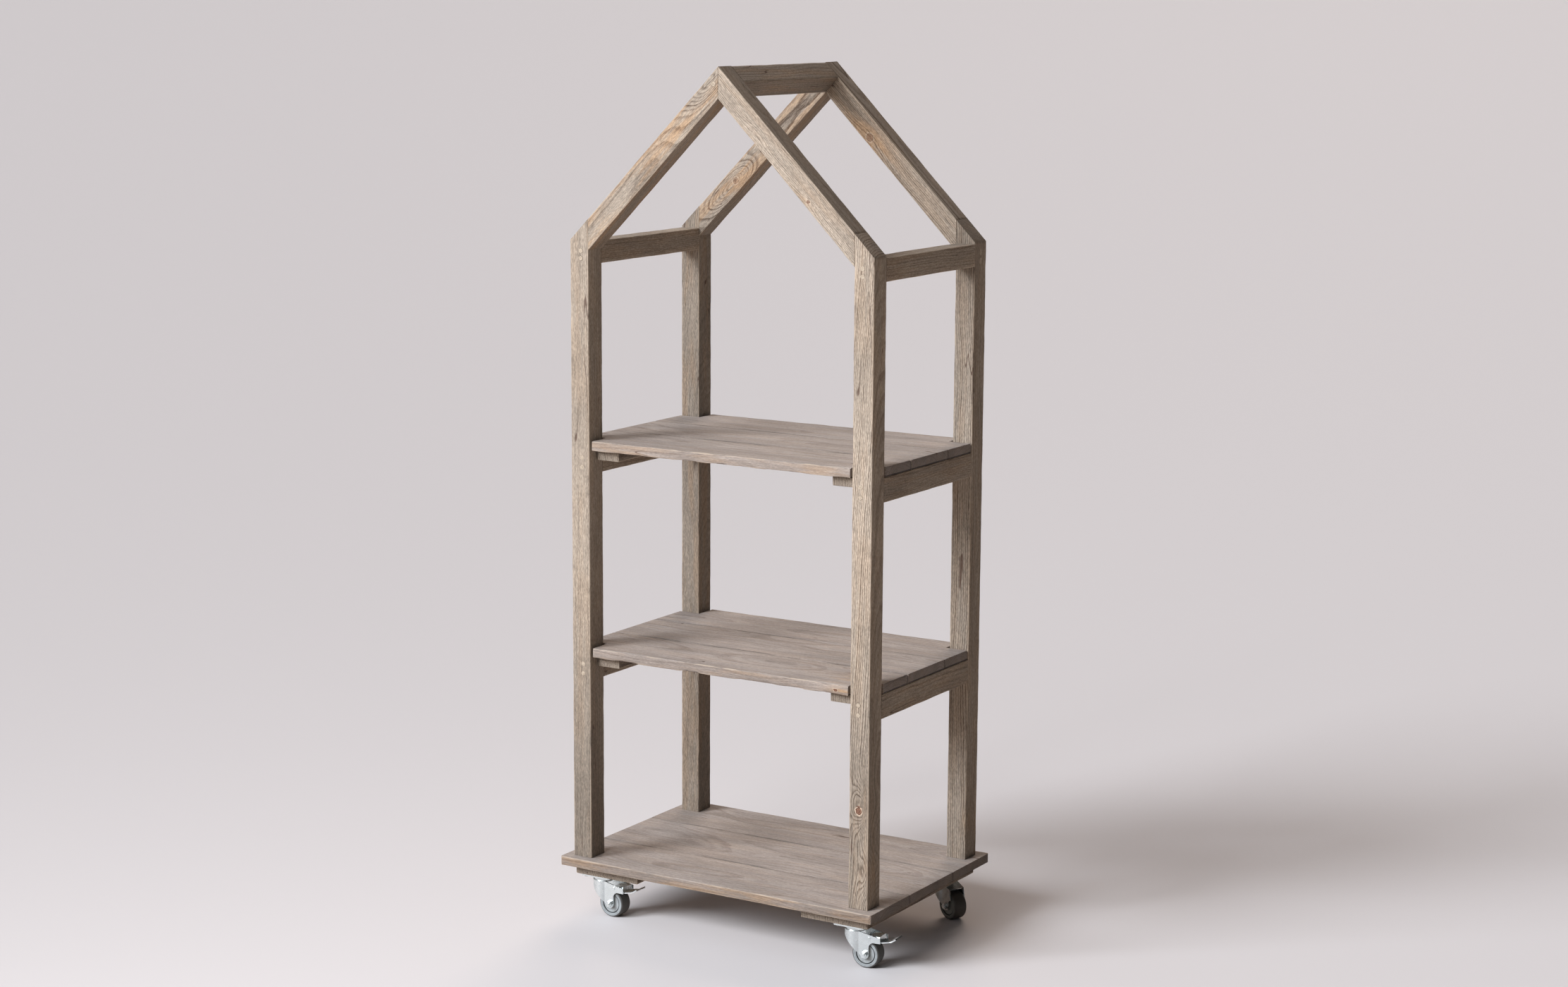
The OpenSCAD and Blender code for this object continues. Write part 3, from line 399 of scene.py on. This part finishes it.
def wood_group():
    """Colour, roughness and height of brushed and greyed softwood. Lengths are in millimetres."""
    tree, t, given, out = new_group(
        "weathered wood",
        {
            "Vector": "Vector", "Rings": "Float", "Disc": "Float", "Knot Ring": "Float",
            "Arris": "Float", "Tone": "Float", "Glow": "Float",
            "Contrast": "Float", "Warmth": "Float", "Speckle": "Float",
            "Early": "Color", "Late": "Color",
        },
        {"Color": "Color", "Roughness": "Float", "Height": "Float"},
    )
    fibre = t.streaks(given["Vector"], FIBRES, 2, 0.6)
    speck = t.streaks(given["Vector"], SPECKS, 1)
    fleck = t.streaks(given["Vector"], FLECKS, 1.5, 0.6)
    patch = t.streaks(given["Vector"], PATCHES, 3, 0.55)

    # Each ring is pale at first, darkens late in its year and then ends at once
    whole = t.math("FLOOR", given["Rings"])
    chance = t.add("ShaderNodeTexWhiteNoise", {"W": whole}, noise_dimensions="1D").outputs["Value"]
    year = t.math("SUBTRACT", given["Rings"], whole)
    late = t.product(t.step(year, *LATE_YEAR), t.step(year, *YEAR_END), t.step(chance, 0, 1, 0.5, 1.15))
    broken = t.step(t.math("ADD", fibre, t.math("MULTIPLY", speck, 0.4)), 0.5, 0.9, 1.15, 0.66)
    line = t.math("MULTIPLY", t.math("MULTIPLY", late, broken), given["Contrast"], clamp=True)
    colour = t.mix(line, given["Early"], given["Late"])

    # Warm heartwood shows where the grey stain is thin
    bare = t.step(t.streaks(given["Vector"], THIN_STAIN, 3, 0.6), 0.42, 0.64)
    glow = t.math("MULTIPLY", t.math("ADD", bare, 0.35), given["Glow"])
    warm = t.math("ADD", t.math("MULTIPLY", bare, given["Warmth"]), glow, clamp=True)
    colour = t.mix(warm, colour, t.mix(line, WARM_EARLY, WARM_LATE))

    def spotted(spots, depth):
        """A tone round 1, which the spots move down and up by the depth times the speckle."""
        return t.math("MULTIPLY_ADD", t.step(spots, 0.36, 0.64, -depth, depth), given["Speckle"], 1.0)

    # Tone: brushed specks and flecks, fibres and broad patches
    tone = t.product(
        spotted(speck, 0.5),
        spotted(fleck, 0.36),
        t.step(fibre, 0.34, 0.66, 0.86, 1.12),
        t.step(patch, 0.34, 0.66, 0.88, 1.1),
        given["Tone"],
    )
    colour = t.mix(1.0, colour, t.grey(tone), "MULTIPLY")

    # Rubbed arrises, and long fine drying cracks
    rub = t.step(t.streaks(given["Vector"], RUBBED_SPOTS, 2), 0.36, 0.6)
    colour = t.mix(t.product(given["Arris"], rub, 0.7), colour, RUBBED)
    gape = t.math("ABSOLUTE", t.math("SUBTRACT", t.streaks(given["Vector"], CRACKS, 1), 0.5))
    few = t.step(t.streaks(given["Vector"], CRACKED_SPOTS, 1), 0.56, 0.6)
    crack = t.product(t.step(gape, 0.005, 0.002), few)
    colour = t.mix(t.math("MULTIPLY", crack, 0.75), colour, BARK)

    # A knot: reddish, with its own rings, a dark bark line and a pale rim
    ring = given["Knot Ring"]
    knot_year = t.math("FRACT", t.math("MULTIPLY", ring, KNOT_RINGS))
    dark_year = t.math("MAXIMUM", t.step(knot_year, 0.3, 0.9), t.step(ring, 0.5, 0.1))
    knot = t.mix(t.product(dark_year, t.step(speck, 0.7, 0.4)), KNOT_PALE, KNOT_DARK)
    knot = t.mix(t.product(t.step(ring, *BARK_START), t.step(ring, *BARK_END), 0.8), knot, BARK)
    knot = t.mix(t.product(t.step(ring, *RIM_START), t.step(speck, 0.3, 0.55)), knot, KNOT_RIM)
    t.put(out["Color"], t.mix(given["Disc"], colour, knot))

    t.put(out["Roughness"], t.math("ADD", 0.6, t.math("MULTIPLY", fibre, 0.3), clamp=True))
    grooves = t.math("ADD", t.math("MULTIPLY", line, 0.6), crack)
    ridges = t.math("ADD", t.math("MULTIPLY", fibre, 0.7), t.math("MULTIPLY", speck, 0.5))
    t.put(out["Height"], t.math("SUBTRACT", ridges, grooves))
    return tree


KNOT_NODES = knot_group()
RINGS_NODES = rings_group()
WOOD_NODES = wood_group()


@dataclass
class Knot:
    """A knot in a piece of wood: its middle in the grain's own directions and its radius, in millimetres.

    It goes through the piece's thickness, or else across the piece. Pull is how many rings bulge round
    it, and glow how warm the wood is there. One that isn't seen lies under the face, and only its rings
    show.
    """

    place: tuple
    radius: float
    through: str = "thick"
    pull: float = 2.0
    seen: float = 1.0
    glow: float = 0.0


@dataclass
class Look:
    """How a piece of wood was cut from its tree and stained. Lengths are in millimetres, relief in metres.

    The pith is measured from the piece's middle. The rings wander about it, and lean away from it along
    the grain. Contrast is how dark late wood is, warmth how much heartwood shows, and speckle how strong
    the brushed specks are. Tones multiply the colour: of the whole piece, at its foot, on its edges,
    which are the faces across the first of its directions, and on its ends. The edges have a glow of
    their own and only a share of the contrast. Rub is how bright the arrises are rubbed, seam how dark
    the painted shade in the seams is, and painted rest shadow how dark the painted shadow along the lower
    arris of the ends is. A rubbed side of -1 or 1 has its arrises rubbed on that side alone, and painted
    seam shade on the other alone. The seed says where in the tree the piece was cut.
    """

    pith: tuple = (60, 30, 0)
    ring_width: float = 3.0
    wander: float = 22
    lean: float = 0.0
    contrast: float = 0.85
    warmth: float = 0.2
    speckle: float = 0.3
    relief: float = 0.0004
    tone: float = 1.0
    foot_tone: float = 1.0
    edge_tone: float = 1.0
    edge_glow: float = 0.0
    edge_contrast: float = 1.0
    end_tone: float = 0.8
    rub: float = 1.0
    rubbed_side: int = 0
    seam: float = 0.0
    painted_rest_shadow: float = 0.0
    early: tuple = rgb(172, 159, 145)
    late: tuple = rgb(96, 80, 67)
    seed: float = 0
    knots: list = field(default_factory=list)


FRAME_LOOK = Look()
POST_LOOK = Look(foot_tone=0.68, edge_contrast=0.5)
# The battens' sides are darker by painted shade, the shade under the base
BATTEN_LOOK = Look(pith=(150, 20, 0), warmth=0.05, tone=0.85, edge_tone=0.6)
# The rails' lower tones are painted shade: the roof's over the eave rails, the shelves' over the shelf rails
RAIL_LOOK = Look(contrast=0.45, warmth=0.3, tone=0.86)
SHELF_RAIL_LOOK = replace(RAIL_LOOK, tone=0.74)
# Boards get painted shade in their seams, and a painted shadow along the lower arris of their ends
BOARD_LOOK = Look(
    pith=(10, -70, 0), ring_width=4.2, wander=60, contrast=0.4, warmth=0.14, speckle=0.16,
    relief=0.00025, edge_tone=0.77, edge_glow=0.28, end_tone=0.6, seam=0.5, painted_rest_shadow=0.88,
    early=rgb(166, 156, 150), late=rgb(126, 113, 105),
)
# What differs on the boards of the base
BASE_CHANGES = {"edge_tone": 0.6, "edge_glow": 0.42, "end_tone": 0.49, "painted_rest_shadow": 0.0}

# Timber that differs from others of its kind, as the photograph shows it
LOOKS = {
    "post_front_right": replace(
        POST_LOOK, pith=(120, 20, 0), lean=0.07, ring_width=3.4, wander=20, tone=0.92, foot_tone=0.76,
        knots=[
            Knot((0, 0, -395), 6.4, pull=1, glow=0.3),
            Knot((1, 0, -384), 5, pull=6.5, seen=0),
            Knot((13, 0, -500), 5.5, pull=5, seen=0, glow=0.3),
        ],
    ),
    "post_front_left": replace(
        POST_LOOK, pith=(90, 40, 0), ring_width=2.6, wander=10, contrast=0.6, tone=0.85,
    ),
    "post_rear_left": replace(
        POST_LOOK, pith=(140, 20, 0), lean=0.14, ring_width=2.8, wander=16, contrast=0.5, warmth=0.4,
        tone=0.65, foot_tone=0.92,
    ),
    "post_rear_right": replace(
        POST_LOOK, pith=(-60, 30, 0), tone=0.75, foot_tone=0.97,
        knots=[Knot((15, 0, -503), 3, pull=1.5, seen=0, glow=0.6)],
    ),
    "rafter_front_left": replace(
        FRAME_LOOK, pith=(14, 50, 0), ring_width=3.4, warmth=0.78, tone=0.79,
        knots=[
            Knot((-10, 0, 175), 8, pull=7, seen=0),
            Knot((8, 0, 80), 8, pull=1.5, seen=0, glow=0.15),
        ],
    ),
    "rafter_rear_left": replace(
        FRAME_LOOK, pith=(2, 40, 0), ring_width=4, warmth=0.7, tone=0.74,
        knots=[
            Knot((2, 0, -77), 6.5, pull=7, seen=0.4, glow=0.6),
            Knot((2, 0, -122), 8, pull=5, seen=0),
        ],
    ),
    "rafter_front_right": replace(
        FRAME_LOOK, pith=(70, 10, 0), ring_width=2.6, contrast=0.6, tone=0.88,
        knots=[
            Knot((-10, 0, -71), 3.6, pull=1.5, seen=0.7, glow=0.4),
            Knot((5, 0, 74), 5, pull=3, seen=0),
        ],
    ),
    "rafter_rear_right": replace(
        FRAME_LOOK, pith=(70, 10, 0), tone=0.92,
        knots=[Knot((-8, 0, 50), 7.5, pull=2.5, seen=0.5, glow=1)],
    ),
    "ridge_beam": replace(RAIL_LOOK, pith=(-70, 60, 0), warmth=0.5, tone=0.6, edge_tone=1.48),
    "lower_shelf_plank_front": replace(
        BOARD_LOOK, knots=[Knot((0, -1.4, 234), 3.4, "across", pull=1, glow=1)],
    ),
}


def painted_seam_shade(t, look, grain, across, half_width):
    """How dark the patchy painted shade is in the seams along a board."""
    side = look.rubbed_side
    inwards = t.math("MULTIPLY", across, -side) if side else t.math("ABSOLUTE", across)
    patchy = t.step(t.streaks(grain, SEAM_SPOTS, 1), 0.4, 0.6, 0.3, 1.0)
    return t.product(t.near_end(inwards, half_width, SEAM_BAND), patchy, look.seam)


def painted_rest_shadow(t, look, end, through, half_thickness):
    """How dark the painted shadow is on the ends of a shelf, along the arris that they rest on."""
    downwards = t.math("MULTIPLY", through, -1)
    return t.product(end, t.near_end(downwards, half_thickness, REST_SHADOW_BAND), look.painted_rest_shadow)


def rubbed_arrises(t, look, across, through, half_width, half_thickness):
    """How bright the long arrises are rubbed."""
    side = look.rubbed_side
    outwards = t.math("MULTIPLY", across, side) if side else t.math("ABSOLUTE", across)
    return t.product(
        t.near_end(outwards, half_width, ARRIS_BAND),
        t.near_end(t.math("ABSOLUTE", through), half_thickness, ARRIS_BAND),
        look.rub,
    )


def stained_wood(name, reach, ways, look):
    """Wood whose grain runs along the third of three ways; reach is its low and high along each."""
    material, t, shader = new_material(name)
    found = t.add("ShaderNodeTexCoord").outputs
    middles = [(low + high) / 2 * MM_PER_METRE for low, high in reach]
    half_width, half_thickness, half_length = ((high - low) / 2 * MM_PER_METRE for low, high in reach)
    across, through, along = (
        t.math("MULTIPLY_ADD", t.vector("DOT_PRODUCT", found["Object"], way), MM_PER_METRE, -middle)
        for way, middle in zip(ways, middles)
    )
    grain = t.add("ShaderNodeCombineXYZ", {"X": across, "Y": through, "Z": along}).outputs[0]
    edge, end = (
        t.step(t.math("ABSOLUTE", t.vector("DOT_PRODUCT", found["Normal"], way)), *FACING)
        for way in (ways[0], ways[2])
    )
    # The tone carries painted shade in the seams, and a painted shadow along the lower arris of a shelf's
    # ends
    tone = t.product(
        t.math("SUBTRACT", look.tone, painted_seam_shade(t, look, grain, across, half_width)),
        t.step(t.math("ADD", along, half_length), 0, FOOT_HEIGHT, look.foot_tone, 1.0),
        t.step(edge, 0, 1, 1.0, look.edge_tone),
        t.step(end, 0, 1, 1.0, look.end_tone),
        t.math("SUBTRACT", 1.0, painted_rest_shadow(t, look, end, through, half_thickness)),
    )

    # Each knot bends the grain as the knots before it left it
    place, swell, disc, knot_ring = grain, 0.0, 0.0, 9.0
    glow = t.math("MULTIPLY", edge, look.edge_glow)
    for knot in look.knots:
        square_to = (0, 1, 1) if knot.through == "across" else (1, 0, 1)
        bend = t.add("ShaderNodeGroup", {
            "Vector": place, "Place": knot.place, "Square To": square_to,
            "Radius": knot.radius, "Pull": knot.pull, "Seen": knot.seen, "Glow": knot.glow,
        }, node_tree=KNOT_NODES).outputs
        place = bend["Vector"]
        swell = t.math("ADD", swell, bend["Bend"])
        glow = t.math("ADD", glow, bend["Glow"])
        disc = t.math("MAXIMUM", disc, bend["Disc"])
        knot_ring = t.math("MINIMUM", knot_ring, bend["Ring"])

    own_tree = (0, 0, look.seed * TREE_LENGTH)
    leaning = t.add("ShaderNodeCombineXYZ", {"X": t.math("MULTIPLY", along, -look.lean)}).outputs[0]
    rings = t.add("ShaderNodeGroup", {
        "Vector": t.vector("ADD", t.vector("ADD", place, leaning), own_tree),
        "Pith": look.pith, "Ring Width": look.ring_width, "Wander": look.wander,
    }, node_tree=RINGS_NODES).outputs["Rings"]
    wood = t.add("ShaderNodeGroup", {
        "Vector": t.vector("ADD", grain, own_tree), "Rings": t.math("ADD", rings, swell),
        "Disc": disc, "Knot Ring": knot_ring, "Tone": tone, "Glow": glow,
        "Arris": rubbed_arrises(t, look, across, through, half_width, half_thickness),
        "Contrast": t.step(edge, 0, 1, look.contrast, look.contrast * look.edge_contrast),
        "Warmth": look.warmth, "Speckle": look.speckle, "Early": look.early, "Late": look.late,
    }, node_tree=WOOD_NODES).outputs
    bump = t.add("ShaderNodeBump", {"Height": wood["Height"], "Strength": 1.0, "Distance": look.relief})
    t.put(shader.inputs["Base Color"], wood["Color"])
    t.put(shader.inputs["Roughness"], wood["Roughness"])
    t.put(shader.inputs["Normal"], bump.outputs["Normal"])
    shader.inputs["Specular IOR Level"].default_value = 0.3
    return material


def metal(name, colour, roughness, bump, spangle):
    """Plated steel: fine scratches, and duller blotches that the spangle makes darker."""
    material, t, shader = new_material(name)
    place = t.add("ShaderNodeTexCoord").outputs["Object"]
    blotch = t.noise(place, BLOTCHES, 4, 0.6)
    scratch = t.noise(t.vector("MULTIPLY", place, SCRATCHES), 1, 2, 0.6)
    shade = t.step(blotch, 0.35, 0.7, 1.0, 1.0 - spangle)
    t.put(shader.inputs["Base Color"], t.mix(1.0, colour, t.grey(shade), "MULTIPLY"))
    dull = t.math("ADD", roughness, t.math("MULTIPLY", blotch, 0.22), clamp=True)
    t.put(shader.inputs["Roughness"], dull)
    height = t.math("ADD", blotch, t.math("MULTIPLY", scratch, 0.35))
    relief = t.add("ShaderNodeBump", {"Height": height, "Strength": 0.5, "Distance": bump})
    t.put(shader.inputs["Normal"], relief.outputs["Normal"])
    shader.inputs["Metallic"].default_value = 1.0
    return material


def moulded(name, colour, dust, roughness, bump, clouds=DUST_CLOUDS, dusty=0.45):
    """Moulded plastic or rubber, or a plug's end grain, with a fine skin and clouds of dust on it."""
    material, t, shader = new_material(name)
    place = t.add("ShaderNodeTexCoord").outputs["Object"]
    skin = t.noise(place, FINE_SKIN, 2, 0.5)
    cloud = t.noise(place, clouds, 4, 0.65)
    t.put(shader.inputs["Base Color"], t.mix(t.step(cloud, 0.4, 0.75, 0.0, dusty), colour, dust))
    dull = t.math("ADD", roughness, t.math("MULTIPLY", cloud, 0.3), clamp=True)
    t.put(shader.inputs["Roughness"], dull)
    relief = t.add("ShaderNodeBump", {"Height": skin, "Strength": 0.4, "Distance": bump})
    t.put(shader.inputs["Normal"], relief.outputs["Normal"])
    return material


def rolling(name, colour, dirt, dirty, axle, axis):
    """Grey plastic or rubber of a wheel, darker between two distances from the axle, in millimetres: painted
    shade in the groove of a disc, dirt on the tread of a tyre.
    """
    material = moulded(name, colour, dirt, roughness=0.42, bump=0.00004)
    t = Tree(material.node_tree)
    shader = material.node_tree.nodes["Principled BSDF"]
    clean = shader.inputs["Base Color"].links[0].from_socket
    from_axle = t.vector("SUBTRACT", t.add("ShaderNodeTexCoord").outputs["Object"], axle)
    outwards = t.vector("LENGTH", t.vector("CROSS_PRODUCT", from_axle, axis))
    radius = t.math("MULTIPLY", outwards, MM_PER_METRE)
    low, high = dirty
    amount = t.product(
        t.step(radius, low - DIRT_AND_SHADE_BLUR, low + DIRT_AND_SHADE_BLUR),
        t.step(radius, high + DIRT_AND_SHADE_BLUR, high - DIRT_AND_SHADE_BLUR),
        DIRT_AND_SHADE_SHARE,
    )
    t.put(shader.inputs["Base Color"], t.mix(amount, clean, dirt))
    return material


def solid_of(node):
    """The node's solid as a bmesh, with its triangles joined into whole flat faces."""
    bm = bmesh.new()
    bm.from_mesh(frame["nodes"][node].data)
    bmesh.ops.remove_doubles(bm, verts=bm.verts, dist=WELD)
    bmesh.ops.dissolve_limit(bm, angle_limit=FLAT_ANGLE, verts=bm.verts, edges=bm.edges)
    return bm


def round_edges(bm, edges, width):
    """Rounds the edges, this wide to each side of them."""
    bmesh.ops.bevel(bm, geom=edges, offset=width, segments=2, profile=0.5, affect="EDGES", clamp_overlap=True)


def stand_in(node, bm, name, material):
    """Puts a finished mesh in its node's place, on the same body."""
    for face in bm.faces:
        face.smooth = True
    for edge in bm.edges:
        edge.smooth = edge.calc_face_angle(0) < SMOOTH_ANGLE
    mesh = bpy.data.meshes.new(name)
    bm.to_mesh(mesh)
    bm.free()
    mesh.materials.append(material)
    piece = bpy.data.objects.new(name, mesh)
    bpy.context.scene.collection.objects.link(piece)
    level = piece.modifiers.new("level", "WEIGHTED_NORMAL")
    level.keep_sharp = True
    source = frame["nodes"][node]
    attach(piece, source["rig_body"])
    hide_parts(node)


def reach_along(points, ways):
    """The lowest and highest of the points along each direction."""
    places = [[point.dot(way) for point in points] for way in ways]
    return [(min(along), max(along)) for along in places]


def cut_small(bm, ways, reach, steps):
    """Cuts all faces across each direction, about a step apart."""
    for way, (low, high), step in zip(ways, reach, steps):
        count = max(1, round((high - low) / step))
        for i in range(1, count):
            place = way * (low + (high - low) * i / count)
            everything = bm.verts[:] + bm.edges[:] + bm.faces[:]
            bmesh.ops.bisect_plane(bm, geom=everything, dist=WELD, plane_co=place, plane_no=way)


def wear_down(bm, ways, reach, arris_wear, seed):
    """Takes the faces down unevenly, most along the grain and at the arrises, and never outwards."""
    def spots(u, v, s, size, shift):
        """A noise at a point, in spots of a size across the grain and along it."""
        across, along = size
        return noise.noise(Vector((u / across, v / across, s / along + shift)))

    (u_low, u_high), (v_low, v_high), _ = reach
    bm.normal_update()
    moves = []
    for vertex in bm.verts:
        u, v, s = (vertex.co.dot(way) for way in ways)
        if min(u - u_low, u_high - u, v - v_low, v_high - v) > SKIN:
            continue
        flow = spots(u, v, s, FLOW_SPOTS, seed)
        dents = spots(u, v, s, DENT_SPOTS, seed)
        taken = WORN * (0.5 + 0.4 * flow + 0.1 * dents)
        if max(abs(vertex.normal.dot(way)) for way in ways) < ARRIS_FACING:
            taken += arris_wear * max(0, spots(u, v, s, ARRIS_SPOTS, -seed) + 0.15)
        moves.append((vertex, vertex.normal * -taken))
    for vertex, move in moves:
        vertex.co += move


def timber(node, ways, steps, eased, arris_wear, look, seed):
    """A wooden piece in its node's place: the same shape, with worn faces and eased arrises."""
    bm = solid_of(node)
    reach = reach_along([vertex.co for vertex in bm.verts], ways)
    long_arrises = [
        edge for edge in bm.edges
        if edge.is_convex and edge.calc_length() > LONG_ARRIS and edge.calc_face_angle() > SQUARE_ARRIS
    ]
    round_edges(bm, long_arrises, eased)
    cut_small(bm, ways, reach, steps)
    wear_down(bm, ways, reach, arris_wear, seed)
    stand_in(node, bm, f"{node}_timber", stained_wood(f"{node} wood", reach, ways, look))


def pressed(node, material):
    """A pressed steel piece in its node's place, with the small round edges of cut sheet."""
    bm = solid_of(node)
    sharp = [edge for edge in bm.edges if edge.is_convex and edge.calc_face_angle(0) > SQUARE_ARRIS]
    round_edges(bm, sharp, SHEET_EDGE)
    stand_in(node, bm, f"{node}_sheet", material)


def wood_ways(node):
    """The directions across, through and along the grain of a wooden node."""
    if node.startswith("post"):
        return X, Y, Z
    if node.startswith("rafter"):
        along = SLOPE_LEFT if node.endswith("left") else SLOPE_RIGHT
        return Y.cross(along), Y, along
    if node == "ridge_beam":
        return SLOPE_LEFT, SLOPE_RIGHT, Y
    if "plank" in node:
        return Y, Z, X
    return X, Z, Y


def board_look(node):
    """The look of a board, which is rubbed only on the outer side of its shelf or of the base."""
    side = -1 if "front" in node else 1 if "rear" in node else 0
    look = replace(LOOKS.get(node, BOARD_LOOK), rubbed_side=side, rub=abs(side))
    return replace(look, **BASE_CHANGES) if "base" in node else look


def usual_look(node):
    """The look that timber of the node's kind has."""
    if "plank" in node:
        return board_look(node)
    if "batten" in node:
        return BATTEN_LOOK
    if "eave_rail" in node:
        return RAIL_LOOK
    if "rail" in node:
        return SHELF_RAIL_LOOK
    return FRAME_LOOK


def dress_wood():
    """Replaces each wooden node with worn timber in a wood of its own."""
    for node in frame["nodes"]:
        if not any(word in node for word in ("post", "rafter", "ridge", "rail", "plank", "batten")):
            continue
        chance = random.Random(node)
        board = "plank" in node
        if node in LOOKS and not board:
            look = LOOKS[node]
        else:
            look = usual_look(node)
            u, v, s = look.pith
            u += chance.uniform(-PITH_SPREAD, PITH_SPREAD)
            v += chance.uniform(-PITH_SPREAD, PITH_SPREAD)
            look = replace(look, pith=(u, v, s))
        look = replace(look, seed=chance.uniform(0, 10))
        steps = BOARD_STEPS if board else TIMBER_STEPS
        eased = EASED_BOARD if board else EASED
        arris_wear = FRONT_WEAR if "shelf_plank_front" in node else ARRIS_WEAR
        timber(node, wood_ways(node), steps, eased, arris_wear, look, chance.uniform(0, 100))


def dress_casters():
    """Plates the steel of the casters and screws, and colours the wheels and the plugs. The rear casters'
    zinc and wheels are darker, as painted shade.
    """
    zinc = metal("zinc plate", ZINC, roughness=0.17, bump=0.00001, spangle=0.1)
    dull = metal("shade painted zinc plate", SHADE_PAINTED_ZINC, roughness=0.12, bump=0.00001, spangle=0.3)
    steel = metal("screw steel", SCREW_STEEL, roughness=0.35, bump=0.00004, spangle=0.3)
    plug = moulded(
        "plug wood", PLUG_PALE, PLUG_DARK, roughness=0.7, bump=0.0002, clouds=PLUG_CLOUDS, dusty=0.9,
    )
    joints = {joint["name"]: joint for joint in frame["joints"]}
    for corner in ("front_left", "front_right", "rear_left", "rear_right"):
        rear = "rear" in corner
        roll = joints[f"roll_{corner}"]
        axle, axis = Vector(roll["pos_m"]), Vector(roll["axis"]).normalized()
        # The rear casters get darker wheels and zinc, as painted shade
        disc_colour, tyre_colour = SHADE_PAINTED_REAR_WHEEL if rear else FRONT_WHEEL
        plastic = rolling(f"wheel {corner}", disc_colour, WHEEL_DUST_AND_GROOVE_SHADE, GROOVE, axle, axis)
        rubber = rolling(f"tyre {corner}", tyre_colour, TYRE_DIRT, TREAD, axle, axis)
        frame["nodes"][f"wheel_{corner}"].material_slots[0].material = plastic
        frame["nodes"][f"tyre_{corner}"].material_slots[0].material = rubber
        for node in (f"fork_{corner}", f"caster_plate_{corner}", f"brake_pedal_{corner}"):
            if node in frame["nodes"]:
                pressed(node, dull if rear else zinc)
    finishes = {"zinc_steel": zinc, "screw_steel": steel, "plug_wood": plug}
    for node in frame["nodes"].values():
        for place in node.material_slots:
            if place.name in finishes:
                place.material = finishes[place.name]


def camera():
    """The camera stands where the photograph was taken from."""
    azimuth, elevation, roll = (math.radians(a) for a in (CAMERA_AZIMUTH, CAMERA_ELEVATION, CAMERA_ROLL))
    back = Vector((
        math.sin(azimuth) * math.cos(elevation),
        -math.cos(azimuth) * math.cos(elevation),
        math.sin(elevation),
    ))
    level = Vector((math.cos(azimuth), math.sin(azimuth), 0))
    upright = back.cross(level)
    right = level * math.cos(roll) + upright * math.sin(roll)
    up = upright * math.cos(roll) - level * math.sin(roll)
    data = bpy.data.cameras.new("camera")
    data.sensor_width = SENSOR_WIDTH
    data.lens = FOCAL_PIXELS / IMAGE_WIDTH * SENSOR_WIDTH
    data.clip_end = CAMERA_REACH
    eye = bpy.data.objects.new("camera", data)
    eye.matrix_world = Matrix.Translation(CAMERA_PLACE) @ Matrix((right, up, back)).transposed().to_4x4()
    bpy.context.scene.collection.objects.link(eye)
    bpy.context.scene.camera = eye


def floor():
    """A plain pale floor, which isn't part of the object."""
    bm = bmesh.new()
    bmesh.ops.create_circle(bm, cap_ends=True, segments=FLOOR_SIDES, radius=FLOOR_RADIUS)
    mesh = bpy.data.meshes.new("floor")
    bm.to_mesh(mesh)
    bm.free()
    ground = bpy.data.objects.new("floor", mesh)
    bpy.context.scene.collection.objects.link(ground)
    material, t, shader = new_material("pale floor")
    bounced = t.add("ShaderNodeLightPath").outputs["Is Diffuse Ray"]
    t.put(shader.inputs["Base Color"], t.mix(bounced, FLOOR_SEEN, FLOOR_BOUNCE))
    shader.inputs["Roughness"].default_value = FLOOR_ROUGHNESS
    mesh.materials.append(material)


def lamp(name, data, towards):
    """A lamp that shines in a direction."""
    holder = bpy.data.objects.new(name, data)
    holder.rotation_euler = Vector(towards).to_track_quat("-Z", "Y").to_euler()
    bpy.context.scene.collection.objects.link(holder)
    return holder


def lights():
    """A soft sun from the front left, a weak warm one from behind, a softbox in front and the sky."""
    for name, towards, softness, power, colour in SUNS:
        sun = bpy.data.lights.new(name, "SUN")
        sun.angle = math.radians(softness)
        sun.energy = power
        sun.color = colour
        lamp(name, sun, towards)
    box = bpy.data.lights.new("softbox", "AREA")
    box.size = SOFTBOX_SIZE
    box.energy = SOFTBOX_POWER
    softbox = lamp("softbox", box, SOFTBOX_AIM - SOFTBOX_PLACE)
    softbox.location = SOFTBOX_PLACE
    softbox.visible_camera = False

    world = bpy.data.worlds.new("studio")
    world.use_nodes = True
    t = Tree(world.node_tree)
    sky = world.node_tree.nodes["Background"]
    sky.inputs["Color"].default_value = SKY_COLOUR
    towards = t.add("ShaderNodeTexCoord").outputs["Generated"]
    facing = t.vector("DOT_PRODUCT", towards, SKY_SIDE.normalized())
    shining = t.step(facing, 0.1, 0.9, SKY_DIM, SKY_BRIGHT)
    seen = t.add("ShaderNodeLightPath").outputs["Is Camera Ray"]
    change = t.math("MULTIPLY", seen, t.math("SUBTRACT", SKY_SEEN, shining))
    t.put(sky.inputs["Strength"], t.math("ADD", shining, change))
    bpy.context.scene.world = world
    bpy.context.scene.view_settings.view_transform = "Standard"


camera()
floor()
lights()
dress_wood()
dress_casters()
